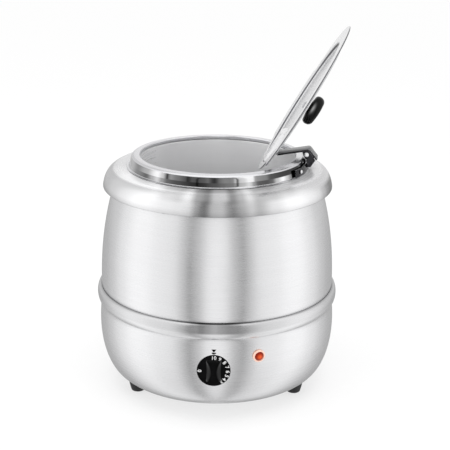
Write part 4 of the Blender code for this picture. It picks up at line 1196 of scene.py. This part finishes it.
def make_world():
    """White to the camera; in the metal, pale walls with a soft dark strip each side of the lens."""
    world = bpy.data.worlds.new("studio")
    bpy.context.scene.world = world
    shader = Shader(world)
    x, y, z = shader.axes("Generated")
    turn = shader.maths("DIVIDE", shader.maths("ABSOLUTE", shader.angle(x, y)), math.pi)
    low = shader.ramp(turn, studio_stops(WALL_FRONT, WALL_BACK_LOW))
    high = shader.ramp(turn, studio_stops(WALL_FRONT, WALL_BACK_HIGH))
    walls = shader.mix(shader.span(z, *WALL_RISE), low, high)
    walls = shader.mix(shader.span(z, *FLOOR_SHADE), BLACK, walls)
    whole = shader.mix(shader.span(z, *CEILING_RISE), walls, rgb(0.95, 0.95, 0.95))
    lit = shader.add("Background", Color=whole, Strength=STUDIO_STRENGTH)
    seen = shader.add("Background", Color=WHITE, Strength=BACKDROP_STRENGTH)
    to_camera = shader.add("LightPath").outputs["Is Camera Ray"]
    shader.add("OutputWorld", Surface=shader.add("MixShader", Fac=to_camera, input1=lit, input2=seen))


def make_floor():
    material, shader = new_shader("floor_pale")
    paint = shader.add("BsdfDiffuse", Color=rgb(0.92, 0.92, 0.92))
    glow = shader.add("Emission", Color=WHITE, Strength=BACKDROP_STRENGTH)
    whole = shader.add("MixShader", Fac=0.62, input1=paint, input2=glow)
    shader.add("OutputMaterial", Surface=whole)
    bpy.ops.mesh.primitive_plane_add(size=40, location=(0, 0, cad_low.z))
    floor = bpy.context.active_object
    floor.name = "floor"
    floor.data.materials.append(material)
    floor.visible_glossy = False


def make_lights():
    """One wide softbox overhead, a little to the front."""
    light = bpy.data.lights.new("softbox", "AREA")
    light.shape = "SQUARE"
    light.size = 1.8
    light.energy = 16
    lamp = bpy.data.objects.new("softbox", light)
    lamp.location = (0, -0.5, 2.2)
    lamp.rotation_euler = (math.radians(-12), 0, 0)
    lamp.visible_glossy = False
    link(lamp)


def make_camera():
    data = bpy.data.cameras.new("camera")
    data.lens = CAMERA_LENS
    data.sensor_width = 36.0
    data.clip_end = 100
    camera = bpy.data.objects.new("camera", data)
    tilt = Matrix.Rotation(math.pi / 2 - CAMERA_PITCH, 4, "X")
    camera.matrix_world = Matrix.Translation(CAMERA_PLACE) @ tilt @ Matrix.Rotation(CAMERA_ROLL, 4, "Z")
    link(camera)
    bpy.context.scene.camera = camera
    bpy.context.scene.view_settings.view_transform = "Standard"


finish_kept_nodes()
make_jacket()
make_collar()
make_pot()
make_lid_ring()
make_hinge()
make_lid()
make_knob()
make_dial()
make_numbers()
make_index_marks()
make_lamp()
make_feet()
make_cord()
make_world()
make_floor()
make_lights()
make_camera()
